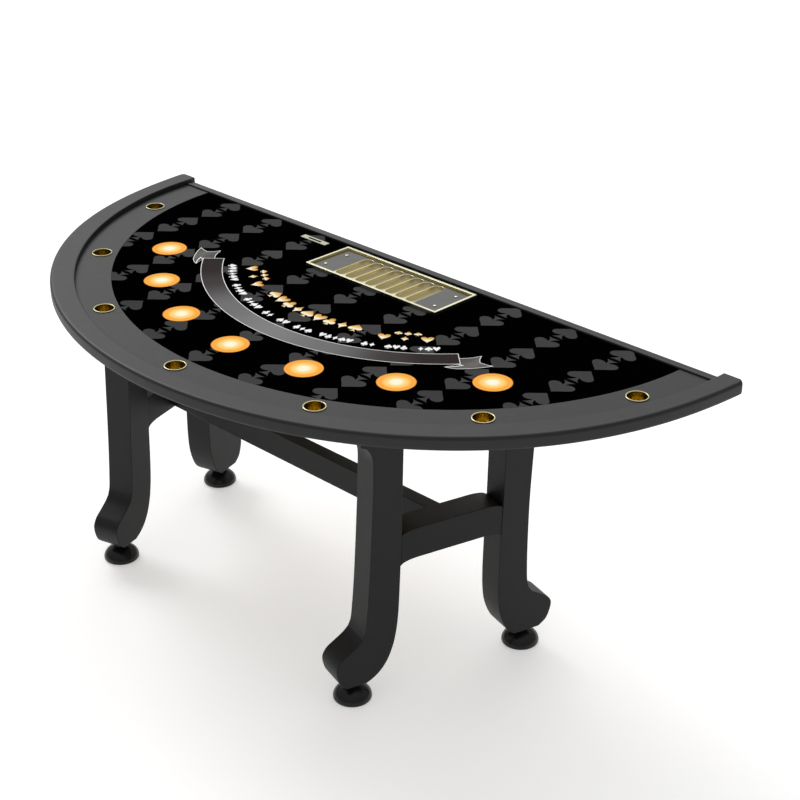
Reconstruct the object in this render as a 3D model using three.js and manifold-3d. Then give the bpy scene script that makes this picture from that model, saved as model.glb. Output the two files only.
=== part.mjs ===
// Blackjack table: D-shaped top on two splayed trestles.
// Millimetres, +Z up. X runs along the dealer's edge, +Y is the dealer's side,
// -Y is the players' side. The origin is on the floor under the middle of the
// object's bounding box.
import * as THREE from 'three';
import { mergeVertices } from 'three/addons/utils/BufferGeometryUtils.js';
import Module from 'manifold-3d';

const wasm = await Module();
wasm.setup();

// ---------------------------------------------------------------- dimensions
const U = 1090;                 // drawing unit of the plan curves
const Y_MID = 0.59325;          // plan-curve y of the object's middle
const POLE_Y = 0.17;            // centre of the polar plan curves
const FELT_Z = 912;             // playing surface above the floor
const RAIL_UP = 16;             // arm rail above the playing surface
const TOP_DOWN = 22.5;          // underside of deck and rail below the playing surface
const FELT_T = 1.6;             // layout cloth
const FOAM_T = 3.0;             // speed-cloth underlay
const LEDGE_T = 4.7;            // racetrack ledge board
const GAP = 0.3;                // clearance between touching pieces
const DECK_TOP = FELT_Z - 5.0;
const DECK_BOT = FELT_Z - TOP_DOWN;
const REAR_RAIL_Y = 557.3;      // square-cut ends of the arm rail
const STRIP_Y0 = 519.4, STRIP_Y1 = 548.9, STRIP_UP = 5.2;   // dealer's edge strip

// plan curves, r(theta) = c0 + c1 t^2 + c2 t^4 + c3 t^6 in drawing units
const FELT_C = [1.11755, -0.08223, -0.01255, 0.00239];      // cloth / ledge line
const RAIL_IN_C = [1.2150, -0.0694, -0.0169, 0.0030];       // ledge / arm rail line
const RAIL_OUT_C = [1.27445, -0.02075, -0.08285, 0.02578];  // outer face of the arm rail

const CUP_R = 29.2, CUP_RIM_R = 34.8, CUP_DEPTH = 62, CUP_WALL = 1.5;
const CUPS = [[-0.9369, -0.3144], [-0.7456, -0.6609], [-0.4163, -0.9007], [0, -0.992],
  [0.4163, -0.9007], [0.7456, -0.6609], [0.9369, -0.3144]];

const TRAY_W = 553, TRAY_D = 184, TRAY_Y = 400.7, TRAY_UP = 11, TRAY_WALL = 9;
const TUBE_R = 19.8, TUBE_PITCH = 43, TUBE_N = 8, TUBE_WALL = 2.4;

const SLOT_X = -410, SLOT_Y = 472;

const LEG_T = 90;               // leg board thickness across the trestle
const FOOT_R = 56;              // levelling foot

// ---------------------------------------------------------------- helpers
const group = new THREE.Group();
group.name = 'blackjack_table';

function mat(color, roughness, metalness) {
  return new THREE.MeshStandardMaterial({ color, roughness, metalness });
}
const M = {
  lacquer: () => mat(0x3a3a3b, 0.42, 0.0),
  ledge: () => mat(0x4a4a4b, 0.45, 0.0),
  felt: () => mat(0x0a0a0a, 0.95, 0.0),
  foam: () => mat(0x8a8a84, 0.9, 0.0),
  ply: () => mat(0xa98c62, 0.7, 0.0),
  brass: () => mat(0xc9b26a, 0.25, 1.0),
  olive: () => mat(0x9a8c5c, 0.3, 1.0),
  steel: () => mat(0x9c9ea0, 0.35, 1.0),
  black: () => mat(0x151515, 0.2, 0.0),
  boxpaint: () => mat(0x26282a, 0.5, 0.3),
};
function add(name, geometry, material) {
  const g = geometry;
  if (!g.getAttribute('normal')) g.computeVertexNormals();
  const m = new THREE.Mesh(g, material);
  m.name = name;
  group.add(m);
  return m;
}
function bare(g) {
  g = g.clone();
  for (const a of Object.keys(g.attributes)) if (a !== 'position') g.deleteAttribute(a);
  return mergeVertices(g, 1e-4);
}
function solid(g) {
  const b = bare(g);
  return new wasm.Manifold(new wasm.Mesh({
    numProp: 3,
    vertProperties: new Float32Array(b.getAttribute('position').array),
    triVerts: new Uint32Array(b.index.array),
  }));
}
function geo(m) {
  const mesh = m.getMesh();
  const g = new THREE.BufferGeometry();
  const p = new Float32Array(mesh.numVert * 3);
  for (let i = 0; i < mesh.numVert; i++)
    for (let k = 0; k < 3; k++) p[3 * i + k] = mesh.vertProperties[i * mesh.numProp + k];
  g.setAttribute('position', new THREE.BufferAttribute(p, 3));
  g.setIndex(new THREE.BufferAttribute(new Uint32Array(mesh.triVerts), 1));
  g.computeVertexNormals();
  return g;
}
function cut(a, ...tools) {
  let m = a instanceof THREE.BufferGeometry ? solid(a) : a;
  for (const t of tools) m = m.subtract(t instanceof THREE.BufferGeometry ? solid(t) : t);
  return m;
}
function join(a, ...tools) {
  let m = a instanceof THREE.BufferGeometry ? solid(a) : a;
  for (const t of tools) m = m.add(t instanceof THREE.BufferGeometry ? solid(t) : t);
  return m;
}
// a box from its two corners
function box(x0, x1, y0, y1, z0, z1) {
  const g = new THREE.BoxGeometry(x1 - x0, y1 - y0, z1 - z0);
  g.translate((x0 + x1) / 2, (y0 + y1) / 2, (z0 + z1) / 2);
  return g;
}
// a plan outline (with holes) extruded from z0 to z1
function slab(points, z0, z1, holes = []) {
  const s = new THREE.Shape(points.map(p => new THREE.Vector2(p[0], p[1])));
  for (const h of holes) s.holes.push(new THREE.Path(h.map(p => new THREE.Vector2(p[0], p[1]))));
  const g = new THREE.ExtrudeGeometry(s, { depth: z1 - z0, bevelEnabled: false, steps: 1 });
  g.translate(0, 0, z0);
  return g;
}
function ring(cx, cy, r, n) {
  const p = [];
  for (let i = 0; i < n; i++) {
    const a = 2 * Math.PI * i / n;
    p.push([cx + r * Math.cos(a), cy + r * Math.sin(a)]);
  }
  return p;
}
function rect(x0, x1, y0, y1, r = 0, n = 3) {
  if (!r) return [[x0, y0], [x1, y0], [x1, y1], [x0, y1]];
  const p = [];
  for (const [cx, cy, a0] of [[x1 - r, y0 + r, -90], [x1 - r, y1 - r, 0], [x0 + r, y1 - r, 90], [x0 + r, y0 + r, 180]])
    for (let i = 0; i <= n; i++) {
      const a = (a0 + 90 * i / n) * Math.PI / 180;
      p.push([cx + r * Math.cos(a), cy + r * Math.sin(a)]);
    }
  return p;
}
function turned(profile, n, x, y, z) {
  const g = new THREE.LatheGeometry(profile.map(p => new THREE.Vector2(p[0], p[1])), n);
  g.rotateX(Math.PI / 2);           // lathe axis Y -> Z
  g.translate(x, y, z);
  return g;
}
function rod(x, y, z0, z1, r, n = 16) {
  const g = new THREE.CylinderGeometry(r, r, z1 - z0, n);
  g.rotateX(Math.PI / 2);
  g.translate(x, y, (z0 + z1) / 2);
  return g;
}

// ---------------------------------------------------------------- plan curves
const poly = (c, t) => c[0] + c[1] * t ** 2 + c[2] * t ** 4 + c[3] * t ** 6;
const toY = y => (y + Y_MID) * U;
const POLE = toY(POLE_Y);
// a point of a plan curve, moved outward by off millimetres along the radius
function planPoint(c, t, off) {
  const r = poly(c, t) * U + off;
  return [r * Math.sin(t), POLE - r * Math.cos(t)];
}
// every plan curve is sampled at the same angles, so neighbouring pieces share their facets
const N_ARC = 23, T_STEP = 1.4 / N_ARC;
function arcPoints(c, off, yEnd) {
  const half = [];
  for (let i = 0; i <= N_ARC; i++) {
    const q = planPoint(c, i * T_STEP, off);
    if (q[1] > yEnd) {
      const a = half[half.length - 1], f = (yEnd - a[1]) / (q[1] - a[1]);
      half.push([a[0] + f * (q[0] - a[0]), yEnd]);
      break;
    }
    half.push(q);
  }
  return [...half.slice(1).reverse().map(([x, y]) => [-x, y]), ...half];
}
const cupXY = CUPS.map(([x, y]) => [x * U, toY(y)]);

// ---------------------------------------------------------------- table top
const topEnd = STRIP_Y0 - GAP;

// structural deck, cut for cups, chip tray and drop slot, rebated round the tray
{
  const holes = cupXY.map(([x, y]) => ring(x, y, CUP_R + 1.6, 16));
  holes.push(rect(-262, 262, TRAY_Y - 77, TRAY_Y + 77));
  holes.push(rect(SLOT_X - 34, SLOT_X + 34, SLOT_Y - 7, SLOT_Y + 7));
  let m = solid(slab(arcPoints(RAIL_IN_C, -GAP, topEnd), DECK_BOT, DECK_TOP, holes));
  m = cut(m, box(-268, 268, TRAY_Y - 83.5, TRAY_Y + 83.5, DECK_TOP - 3, DECK_TOP + 5));
  for (const sx of [-1, 1]) for (const sy of [-1, 1])
    m = cut(m, rod(sx * 264.2, TRAY_Y + sy * 55, DECK_TOP - 9, DECK_TOP + 1, 2.6, 10));
  add('top_deck', geo(m), M.ply());
}
// foam underlay and layout cloth, both inside the ledge
const trayHole = rect(-271.2, 271.2, TRAY_Y - 86.7, TRAY_Y + 86.7);
const slotHole = rect(SLOT_X - 34, SLOT_X + 34, SLOT_Y - 7, SLOT_Y + 7);
add('foam_underlay', slab(arcPoints(FELT_C, -GAP, topEnd), DECK_TOP + 0.2, DECK_TOP + 0.2 + FOAM_T - 0.1,
  [trayHole, slotHole]), M.foam());
add('felt_layout', slab(arcPoints(FELT_C, -GAP, topEnd), FELT_Z - FELT_T, FELT_Z,
  [trayHole, slotHole]), M.felt());
// racetrack ledge between the cloth and the arm rail
{
  const outer = arcPoints(RAIL_IN_C, -GAP, topEnd);
  const inner = arcPoints(FELT_C, 0, topEnd).reverse();
  add('racetrack_ledge', slab(outer.concat(inner), FELT_Z - LEDGE_T, FELT_Z,
    cupXY.map(([x, y]) => ring(x, y, CUP_R + 1.6, 16))), M.ledge());
}
// arm rail: one section swept round the plan, square-cut at the dealer's edge
{
  const H = RAIL_UP, B = -TOP_DOWN;
  // section points: [fraction from inner to outer curve, inset in mm, height above the cloth]
  const sec = [];
  const push = (f, off, z) => sec.push([f, off, z]);
  push(0, 0, B);
  push(0, 0, H - 5);
  for (const a of [45, 90]) push(0, 5 - 5 * Math.cos(a * Math.PI / 180), H - 5 + 5 * Math.sin(a * Math.PI / 180));
  for (const a of [90, 60, 30, 0]) push(1, -(10.5 - 10.5 * Math.cos(a * Math.PI / 180)), H - 10.5 + 10.5 * Math.sin(a * Math.PI / 180));
  push(1, 0, B + 9);
  push(1, -1.2, B + 3.5);
  push(1, -4.5, B);
  const n = 2 * N_ARC, rows = [];
  const pts = [];
  for (const [f, off, z] of sec) {
    const c = RAIL_IN_C.map((v, i) => v * (1 - f) + RAIL_OUT_C[i] * f);
    const row = [];
    for (let i = 0; i <= n; i++) {
      const [x, y] = planPoint(c, (i - N_ARC) * T_STEP, off);
      row.push(pts.length / 3);
      pts.push(x, y, FELT_Z + z);
    }
    rows.push(row);
  }
  const idx = [];
  const k = rows.length;
  for (let j = 0; j < k; j++) {
    const a = rows[j], b = rows[(j + 1) % k];
    for (let i = 0; i < n; i++) idx.push(a[i], b[i], a[i + 1], b[i], b[i + 1], a[i + 1]);
  }
  const contour = sec.map((q, j) => new THREE.Vector2(Math.hypot(pts[3 * rows[j][n]], pts[3 * rows[j][n] + 1] - POLE), pts[3 * rows[j][n] + 2]));
  const around = THREE.ShapeUtils.isClockWise(contour);
  for (let [p, q, r] of THREE.ShapeUtils.triangulateShape(contour, [])) {
    if (THREE.ShapeUtils.isClockWise([contour[p], contour[q], contour[r]]) !== around) [q, r] = [r, q];
    idx.push(rows[p][n], rows[q][n], rows[r][n]);
    idx.push(rows[p][0], rows[r][0], rows[q][0]);
  }
  const g = new THREE.BufferGeometry();
  g.setAttribute('position', new THREE.Float32BufferAttribute(pts, 3));
  g.setIndex(idx);
  // face the skin outward
  let vol = 0;
  for (let i = 0; i < idx.length; i += 3) {
    const v = [0, 1, 2].map(j => new THREE.Vector3(pts[3 * idx[i + j]], pts[3 * idx[i + j] + 1], pts[3 * idx[i + j] + 2]));
    vol += v[0].dot(v[1].clone().cross(v[2]));
  }
  if (vol < 0) for (let i = 0; i < idx.length; i += 3) [idx[i + 1], idx[i + 2]] = [idx[i + 2], idx[i + 1]];
  g.setIndex(idx);
  add('arm_rail', geo(cut(g, box(-2000, 2000, REAR_RAIL_Y, 2000, 0, 2000))), M.ledge());
}
// dealer's edge strip closes the straight side between the rail ends
{
  const x1 = arcPoints(RAIL_IN_C, -GAP, STRIP_Y1).pop()[0] - 0.15;
  const x0 = arcPoints(RAIL_IN_C, -GAP, STRIP_Y0).pop()[0] - 0.15;
  const s = new THREE.Shape([[STRIP_Y0, DECK_BOT], [STRIP_Y1 - 3, DECK_BOT], [STRIP_Y1, DECK_BOT + 3],
    [STRIP_Y1, FELT_Z + STRIP_UP - 4], [STRIP_Y1 - 1.2, FELT_Z + STRIP_UP - 1.2], [STRIP_Y1 - 4, FELT_Z + STRIP_UP],
    [STRIP_Y0 + 4, FELT_Z + STRIP_UP], [STRIP_Y0 + 1.2, FELT_Z + STRIP_UP - 1.2], [STRIP_Y0, FELT_Z + STRIP_UP - 4]]
    .map(p => new THREE.Vector2(p[0], p[1])));
  const g = new THREE.ExtrudeGeometry(s, { depth: 2 * x1, bevelEnabled: false, steps: 1 });
  // section (y,z) along x
  g.applyMatrix4(new THREE.Matrix4().set(0, 0, 1, -x1, 1, 0, 0, 0, 0, 1, 0, 0, 0, 0, 0, 1));
  let m = solid(g);
  // the ends follow the rail's inner face
  for (const s2 of [-1, 1]) {
    const w = [[s2 * x0, STRIP_Y0 - 1], [s2 * (x1 + 20), STRIP_Y0 - 1], [s2 * (x1 + 20), STRIP_Y1 + 1], [s2 * (x1 + (x1 - x0) / 29.5), STRIP_Y1 + 1]];
    m = cut(m, slab(s2 > 0 ? w : w.reverse(), DECK_BOT - 5, FELT_Z + 20));
  }
  add('dealer_edge_strip', geo(m), M.ledge());
}
// seven drop-in cup holders
cupXY.forEach(([x, y], i) => {
  const r = CUP_R, w = CUP_WALL, R = CUP_RIM_R, d = CUP_DEPTH;
  const p = [[0, -d], [r - 5, -d], [r - 1.5, -d + 3], [r, 0.3], [R - 0.6, 0.3], [R, 1.4], [R - 2.2, 3.0],
    [r - w + 0.6, 2.4], [r - w, 0.3], [r - w - 1.5, -d + 5], [r - w - 5, -d + w], [0, -d + w]];
  add(`cup_holder_${i + 1}`, turned(p, 16, x, y, FELT_Z), M.brass());
});

// ---------------------------------------------------------------- chip tray
{
  // surround: flat bar ring standing on the cloth with a sleeve down to the deck
  const W = TRAY_W / 2, D = TRAY_D / 2, t = TRAY_WALL;
  let m = solid(slab(rect(-W, W, TRAY_Y - D, TRAY_Y + D), FELT_Z + GAP, FELT_Z + TRAY_UP,
    [rect(-W + t, W - t, TRAY_Y - D + t, TRAY_Y + D - t)]));
  m = join(m, slab(rect(-270.7, 270.7, TRAY_Y - 86.2, TRAY_Y + 86.2), DECK_TOP + GAP, FELT_Z + 1,
    [rect(-W + t, W - t, TRAY_Y - D + t, TRAY_Y + D - t)]));
  add('chip_tray_surround', geo(m), M.brass());
  // fluted insert: rimmed plate with eight half-round troughs closed by round rear ends
  const Wi = W - t - 0.5, Di = D - t - 0.5, zp = DECK_TOP - 2.7, tp = 3;
  let n = solid(slab(rect(-Wi, Wi, TRAY_Y - Di, TRAY_Y + Di), zp, zp + tp));
  n = join(n, slab(rect(-Wi, Wi, TRAY_Y - Di, TRAY_Y + Di), zp + tp - 0.5, FELT_Z + 4,
    [rect(-Wi + 2.4, Wi - 2.4, TRAY_Y - Di + 2.4, TRAY_Y + Di - 2.4)]));
  const trough = (x, r, y0, y1, seg) => {
    // capsule along Y: cylinder with a ball at the rear end
    const c = new THREE.CapsuleGeometry(r, y1 - y0, 3, seg);
    c.translate(x, (y0 + y1) / 2, 0);
    return c;
  };
  const top = zp + tp;
  const yF = TRAY_Y - Di + 8.5, yB = TRAY_Y + Di - 10;
  const capZ = top + 0.6;
  const outers = [], inners = [];
  for (let i = 0; i < TUBE_N; i++) {
    const x = (i - (TUBE_N - 1) / 2) * TUBE_PITCH;
    const o = trough(x, TUBE_R + TUBE_WALL - 0.55, yF + TUBE_R, yB - TUBE_R, 12); o.translate(0, 0, capZ);
    const q = trough(x, TUBE_R, yF + TUBE_R, yB - TUBE_R, 12); q.translate(0, 0, capZ);
    outers.push(solid(o)); inners.push(solid(q));
  }
  let o = outers[0]; for (const a of outers.slice(1)) o = o.add(a);
  const keep = solid(box(-Wi + 1, Wi - 1, TRAY_Y - Di + 0.5, TRAY_Y + Di - 0.5, zp - 40, zp + tp));
  n = n.add(o.intersect(keep));
  for (const a of inners) n = n.subtract(a);
  for (const sx of [-1, 1]) for (const sy of [-1, 1]) n = cut(n, rod(sx * 234.2, TRAY_Y + sy * 46, zp - 5, zp + 8, 2.3, 10));
  add('chip_tray_insert', geo(n), M.olive());
  // captive screws through the two end plates
  let k = 0;
  for (const sx of [-1, 1]) for (const sy of [-1, 1]) {
    k++;
    const p = [[0, -2.2], [1.9, -2.2], [1.9, tp + GAP], [5, tp + GAP], [5, tp + 1.6], [3.6, tp + 2.7], [0, tp + 3.1]];
    add(`tray_screw_${k}`, turned(p, 14, sx * 234.2, TRAY_Y + sy * 46, zp), M.steel());
  }
}

// ---------------------------------------------------------------- drop slot and drop box
{
  // slot plate with its throat down through the top
  const X = SLOT_X, Y = SLOT_Y;
  let m = solid(slab(rect(X - 57, X + 57, Y - 11.5, Y + 11.5, 3, 2), FELT_Z + GAP, FELT_Z + 2.6));
  m = join(m, box(X - 33.5, X + 33.5, Y - 6.5, Y + 6.5, DECK_BOT - 8, FELT_Z + 1));
  m = cut(m, box(X - 29, X + 29, Y - 2.6, Y + 2.6, DECK_BOT - 20, FELT_Z + 10));
  add('drop_slot_plate', geo(m), M.brass());

  // box: x X-75..X+75, y 402..530, z 648..865, open at the dealer's end
  const zt = 865, zb = 648, w = 2, x0 = X - 75, x1 = X + 75, y0 = 402, y1 = 530;
  let b = solid(box(x0, x1, y0, y1, zb, zt));
  b = cut(b, box(x0 + w, x1 - w, y0 + w, y1 + 5, zb + w, zt - 3));
  b = join(b, box(x0 - 12, x1 + 12, y0, y1, zt - 3, zt));
  b = cut(b, box(X - 36, X + 36, Y - 9, Y + 9, zt - 10, zt + 5));
  // return lip for the lock cam, and two hinge lugs
  b = join(b, box(x1 - 12, x1 - 1, y1 - 4, y1 - 2, 740, 780));
  const px = x0 - 5, py = y1 + 5.5;
  for (const [a, c] of [[zb + 6, zb + 12], [zt - 17, zt - 11]]) {
    b = join(b, box(px - 4, x0 + 1, y1 - 12, y1, a, c));
    b = join(b, box(px - 4, px + 4, y1 - 2, py, a, c));
    b = join(b, rod(px, py, a, c, 4, 14));
    b = cut(b, rod(px, py, a - 1, c + 1, 2.35, 12));
  }
  add('drop_box', geo(b), M.boxpaint());
  // pin and door
  add('drop_box_hinge_pin', geo(join(rod(px, py, zb + 4, zt - 10.5, 2, 12), rod(px, py, zt - 10.6, zt - 8.6, 3.4, 12))), M.steel());
  let d = solid(rod(px, py, zb + 12.5, zt - 17.5, 4, 14));
  d = join(d, box(px, x1 - 0.5, y1 + 4.4, y1 + 6.6, zb + 12.5, zt - 17.5));
  d = join(d, box(x0 + 3, x1 - 0.5, y1 + 4.4, y1 + 6.6, zb + 1, zt - 4));
  d = cut(d, rod(px, py, zb, zt, 2.35, 12));
  const lx = x1 - 24, lz = 760;
  const lockHole = new THREE.CylinderGeometry(6.3, 6.3, 20, 16); lockHole.translate(lx, y1 + 5.5, lz);
  d = cut(d, lockHole);
  add('drop_box_door', geo(d), M.boxpaint());
  // cam lock: head outside, plug through the door, cam behind it; cam upright at rest
  const head = new THREE.CylinderGeometry(9, 9, 4, 18); head.translate(lx, y1 + 6.9 + 2, lz);
  const plug = new THREE.CylinderGeometry(6, 6, 14, 16); plug.translate(lx, y1 + 6.9 - 6.5, lz);
  let c = join(head, plug);
  c = join(c, box(lx - 5, lx + 5, y1 - 9, y1 - 6, lz - 6, lz + 17));
  c = join(c, (() => { const g = new THREE.CylinderGeometry(4, 4, 8, 14); g.translate(lx, y1 - 3.5, lz); return g; })());
  c = cut(c, box(lx - 1, lx + 1, y1 + 9.4, y1 + 13, lz - 4, lz + 4));
  add('drop_box_lock', geo(c), M.steel());
  // carrier rails under the deck, the box's top flange slides on their lips
  for (const s of [-1, 1]) {
    const xi = X + s * 78, xo = X + s * 88, xf = X + s * 112;
    const q = (a, b2) => [Math.min(a, b2), Math.max(a, b2)];
    let r = solid(box(...q(xo, xo + s * 2.5), 398, 516, zt - 6.5, DECK_BOT - GAP));
    r = join(r, box(...q(xi, xo + s * 2.5), 398, 516, zt - 5.8, zt - 3.3));
    r = join(r, box(...q(xo, xf), 398, 516, DECK_BOT - GAP - 2.5, DECK_BOT - GAP));
    add(`drop_box_runner_${s < 0 ? 'left' : 'right'}`, geo(r), M.steel());
  }
}

// ---------------------------------------------------------------- trestles
// outlines in the trestle's own plane: s runs from the rear foot to the front foot
const FOOT_REAR = [0.6329, -0.3598], FOOT_FRONT = [0.4901, -0.8594];
const FOOT_Z = -0.8368;
const HEAD_Z = FELT_Z - 64;                        // top of the legs, under the bearer
const sd = new THREE.Vector2(FOOT_FRONT[0] - FOOT_REAR[0], FOOT_FRONT[1] - FOOT_REAR[1]);
const S_LEN = sd.length(); sd.normalize();
const h = z => FELT_Z + z * U * (FELT_Z / (0.8368 * U));   // drawing height -> mm

function curve(points, n) {
  const c = new THREE.CatmullRomCurve3(points.map(p => new THREE.Vector3(p[0] * U, h(p[1]), 0)), false, 'centripetal');
  return c.getPoints(n).map(v => [v.x, v.y]);
}
const frontBack = [[0.3895, -0.118], [0.3918, -0.2227], [0.3945, -0.368], [0.398, -0.4518], [0.4012, -0.53],
  [0.4045, -0.59], [0.409, -0.632], [0.418, -0.677], [0.4336, -0.718], [0.4545, -0.748], [0.477, -0.766], [0.497, -0.776]];
const frontKick = [[0.5545, -0.776], [0.5727, -0.759], [0.583, -0.733], [0.5848, -0.7085], [0.5727, -0.688], [0.55, -0.6727],
  [0.5227, -0.6545], [0.509, -0.641]];
const frontFront = [[0.509, -0.641], [0.5015, -0.622], [0.4965, -0.58], [0.491, -0.514], [0.4845, -0.4045], [0.48, -0.3136],
  [0.4758, -0.2227], [0.4743, -0.132]];
const rearInner = [[0.0885, -0.118], [0.0909, -0.2045], [0.0945, -0.3636], [0.098, -0.4409], [0.1009, -0.532], [0.1022, -0.60],
  [0.1015, -0.641], [0.097, -0.686], [0.088, -0.718], [0.0755, -0.7455], [0.0636, -0.762], [0.0455, -0.776]];
const rearKick = [[-0.032, -0.776], [-0.0545, -0.759], [-0.0665, -0.732], [-0.0695, -0.709], [-0.059, -0.691], [-0.036, -0.6745],
  [-0.009, -0.657], [0.0055, -0.638]];
const rearRear = [[0.0055, -0.638], [0.0105, -0.615], [0.0128, -0.57], [0.0136, -0.50], [0.0132, -0.43], [0.0115, -0.355],
  [0.0073, -0.268], [0.0035, -0.2], [0.001, -0.132]];
const COVE = 28;
function headOf(sign, sx, zx) {
  // quarter cove from the leg face out to the shoulder, then up to the head
  const p = [];
  for (let i = 1; i <= 4; i++) {
    const a = i / 4 * Math.PI / 2;
    p.push([sx + sign * COVE * (1 - Math.cos(a)), zx + COVE * Math.sin(a)]);
  }
  p.push([sx + sign * COVE, HEAD_Z]);
  return p;
}
function legOutline(front) {
  if (front) {
    const a = curve(frontBack, 16), k = curve(frontKick, 12), f = curve(frontFront, 10).slice(1);
    const last = f[f.length - 1];
    return [[a[0][0], HEAD_Z], ...a, ...k, ...f, ...headOf(1, last[0], last[1])];
  }
  const a = curve(rearInner, 16), k = curve(rearKick, 12), f = curve(rearRear, 10).slice(1);
  const last = f[f.length - 1];
  return [[a[0][0], HEAD_Z], ...a, ...k, ...f, ...headOf(-1, last[0], last[1])];
}
// extrude an (s, z) outline across the trestle and stand it on its place
function board(outline, t0, t1, side) {
  const s = new THREE.Shape(outline.map(p => new THREE.Vector2(p[0], p[1])));
  const g = new THREE.ExtrudeGeometry(s, { depth: t1 - t0, bevelEnabled: false, steps: 1 });
  g.translate(0, 0, t0);
  return place(g, side);
}
// local (s, z, t) -> world; t points outward from the table's middle
function place(g, side) {
  const ox = side * FOOT_REAR[0] * U, oy = toY(FOOT_REAR[1]);
  const dx = side * sd.x, dy = sd.y;
  const nx = side * -sd.y, ny = sd.x;      // outward normal for the right-hand trestle, mirrored for the left
  const m = new THREE.Matrix4().set(dx, 0, nx, ox, dy, 0, side * side * ny, oy, 0, 1, 0, 0, 0, 0, 0, 1);
  g.applyMatrix4(m);
  if (m.determinant() < 0) {
    const b = bare(g);
    const i = b.index.array;
    for (let k = 0; k < i.length; k += 3) { const q = i[k + 1]; i[k + 1] = i[k + 2]; i[k + 2] = q; }
    b.computeVertexNormals();
    return b;
  }
  return g;
}
function lbox(s0, s1, z0, z1, t0, t1, side) {
  return place(box(s0, s1, z0, z1, t0, t1), side);
}
const T = LEG_T / 2;
const ST = 44;                           // half thickness of the side stretcher
// where the middle stretcher's centre line meets the trestle
const sMid = (FOOT_REAR[1] + Y_MID) / -sd.y * U;
const CS_T = 22.3, CS_Z0 = h(-0.4335), CS_Z1 = h(-0.357) - 0.6;

for (const side of [-1, 1]) {
  const tag = side < 0 ? 'left' : 'right';
  // side stretcher with shallow arches top and bottom, tenoned into both legs
  const sA = 0.0985 * U, sB = 0.3965 * U;
  const up = [], dn = [];
  const K = 14;
  for (let i = 0; i <= K; i++) {
    const f = i / K, s = sA + (sB - sA) * f;
    const e = Math.min(f, 1 - f) * (sB - sA) / U;
    const rise = 0.0125 * Math.sqrt(Math.max(0, 1 - Math.max(0, 1 - e / 0.055) ** 2));
    up.push([s, h(-0.3675 + rise)]);
    dn.push([s, h(-0.4535 + rise)]);
  }
  let st = solid(board([...dn, ...up.reverse()], -ST, ST, side));
  // trim the ends to the leg faces with clearance
  const legF = solid(board(legOutline(true), -T, T, side));
  const legR = solid(board(legOutline(false), -T, T, side));
  const growF = solid(board(legOutline(true).map(p => [p[0] - 0.4, p[1]]), -T - 1, T + 1, side));
  const growR = solid(board(legOutline(false).map(p => [p[0] + 0.4, p[1]]), -T - 1, T + 1, side));
  st = st.subtract(growF).subtract(growR);
  const zc = h(-0.4);
  st = st.add(solid(lbox(sA - 24, sA + 20, zc - 25, zc + 25, -14, 14, side)));
  st = st.add(solid(lbox(sB - 20, sB + 24, zc - 25, zc + 25, -14, 14, side)));
  // mortise for the middle stretcher's tenon, in the inner face
  const xIn = (FOOT_REAR[0] * U) + sd.x * sMid - ST / Math.cos(Math.atan2(sd.x, -sd.y));
  const m1 = box(side > 0 ? xIn - 12 : -xIn - 26, side > 0 ? xIn + 26 : -xIn + 12, -12.5, 12.5, zc - 26, zc + 20);
  st = st.subtract(solid(m1));
  add(`side_stretcher_${tag}`, geo(st), M.lacquer());

  // legs with mortises and a tenon on the head
  for (const [front, body] of [[true, legF], [false, legR]]) {
    const nm = front ? 'front' : 'rear';
    const sFoot = front ? S_LEN * U : 0;
    let l = body;
    const sm = front ? sB : sA;
    l = l.subtract(solid(lbox(sm - (front ? 20 : 24.6), sm + (front ? 24.6 : 20), zc - 25.4, zc + 25.4, -14.4, 14.4, side)));
    const sc = front ? 0.432 * U : 0.0447 * U;
    l = l.add(solid(lbox(sc - 20, sc + 20, HEAD_Z - 1, HEAD_Z + 24, -16, 16, side)));
    const fx = side * (FOOT_REAR[0] * U + sd.x * sFoot), fy = toY(FOOT_REAR[1]) + sd.y * sFoot;
    l = l.subtract(solid(rod(fx, fy, 40, 100, 8.4, 14)));
    add(`leg_${nm}_${tag}`, geo(l), M.lacquer());
    // threaded insert in the leg and levelling foot
    const ins = [[5.5, 64.1], [15, 64.1], [15, 66.0], [8, 66.0], [8, 96], [5.5, 96], [5.5, 64.1]];
    add(`foot_insert_${nm}_${tag}`, turned(ins, 16, fx, fy, 0), M.steel());
    const ft = [[0, 0], [50, 0], [55, 2.5], [56, 8], [54.6, 16], [50.5, 25], [43.5, 34], [34, 42], [24, 48], [18.5, 52], [18, 63.8],
      [5, 63.8], [5, 92], [0, 92]];
    add(`levelling_foot_${nm}_${tag}`, turned(ft, 16, fx, fy, 0), M.black());
  }
  // bearer under the deck, mortised for the leg heads
  const b0 = -0.045 * U, b1 = 0.515 * U;
  let br = solid(lbox(b0, b1, HEAD_Z + GAP, DECK_BOT - GAP, -T, T, side));
  for (const sc of [0.432 * U, 0.0447 * U])
    br = br.subtract(solid(lbox(sc - 20.4, sc + 20.4, HEAD_Z - 5, HEAD_Z + 24.4, -16.4, 16.4, side)));
  // clearance holes for the two screws up into the deck
  const P = s => [side * (FOOT_REAR[0] * U + sd.x * s), toY(FOOT_REAR[1]) + sd.y * s];
  for (const [i, s] of [[1, 0.135 * U], [2, 0.345 * U]]) {
    const [x, y] = P(s);
    br = br.subtract(solid(rod(x, y, HEAD_Z - 10, FELT_Z, 4, 12)));
    br = br.subtract(solid(rod(x, y, HEAD_Z - 10, HEAD_Z + 6, 9, 12)));
  }
  add(`top_bearer_${tag}`, geo(br), M.lacquer());
  for (const [i, s] of [[1, 0.135 * U], [2, 0.345 * U]]) {
    const [x, y] = P(s);
    add(`bearer_screw_${tag}_${i}`, geo(join(rod(x, y, HEAD_Z + 1.5, HEAD_Z + 5.7, 8.4, 12), rod(x, y, HEAD_Z + 5, DECK_BOT - 0.4, 3.4, 10))), M.steel());
  }
}
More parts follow.
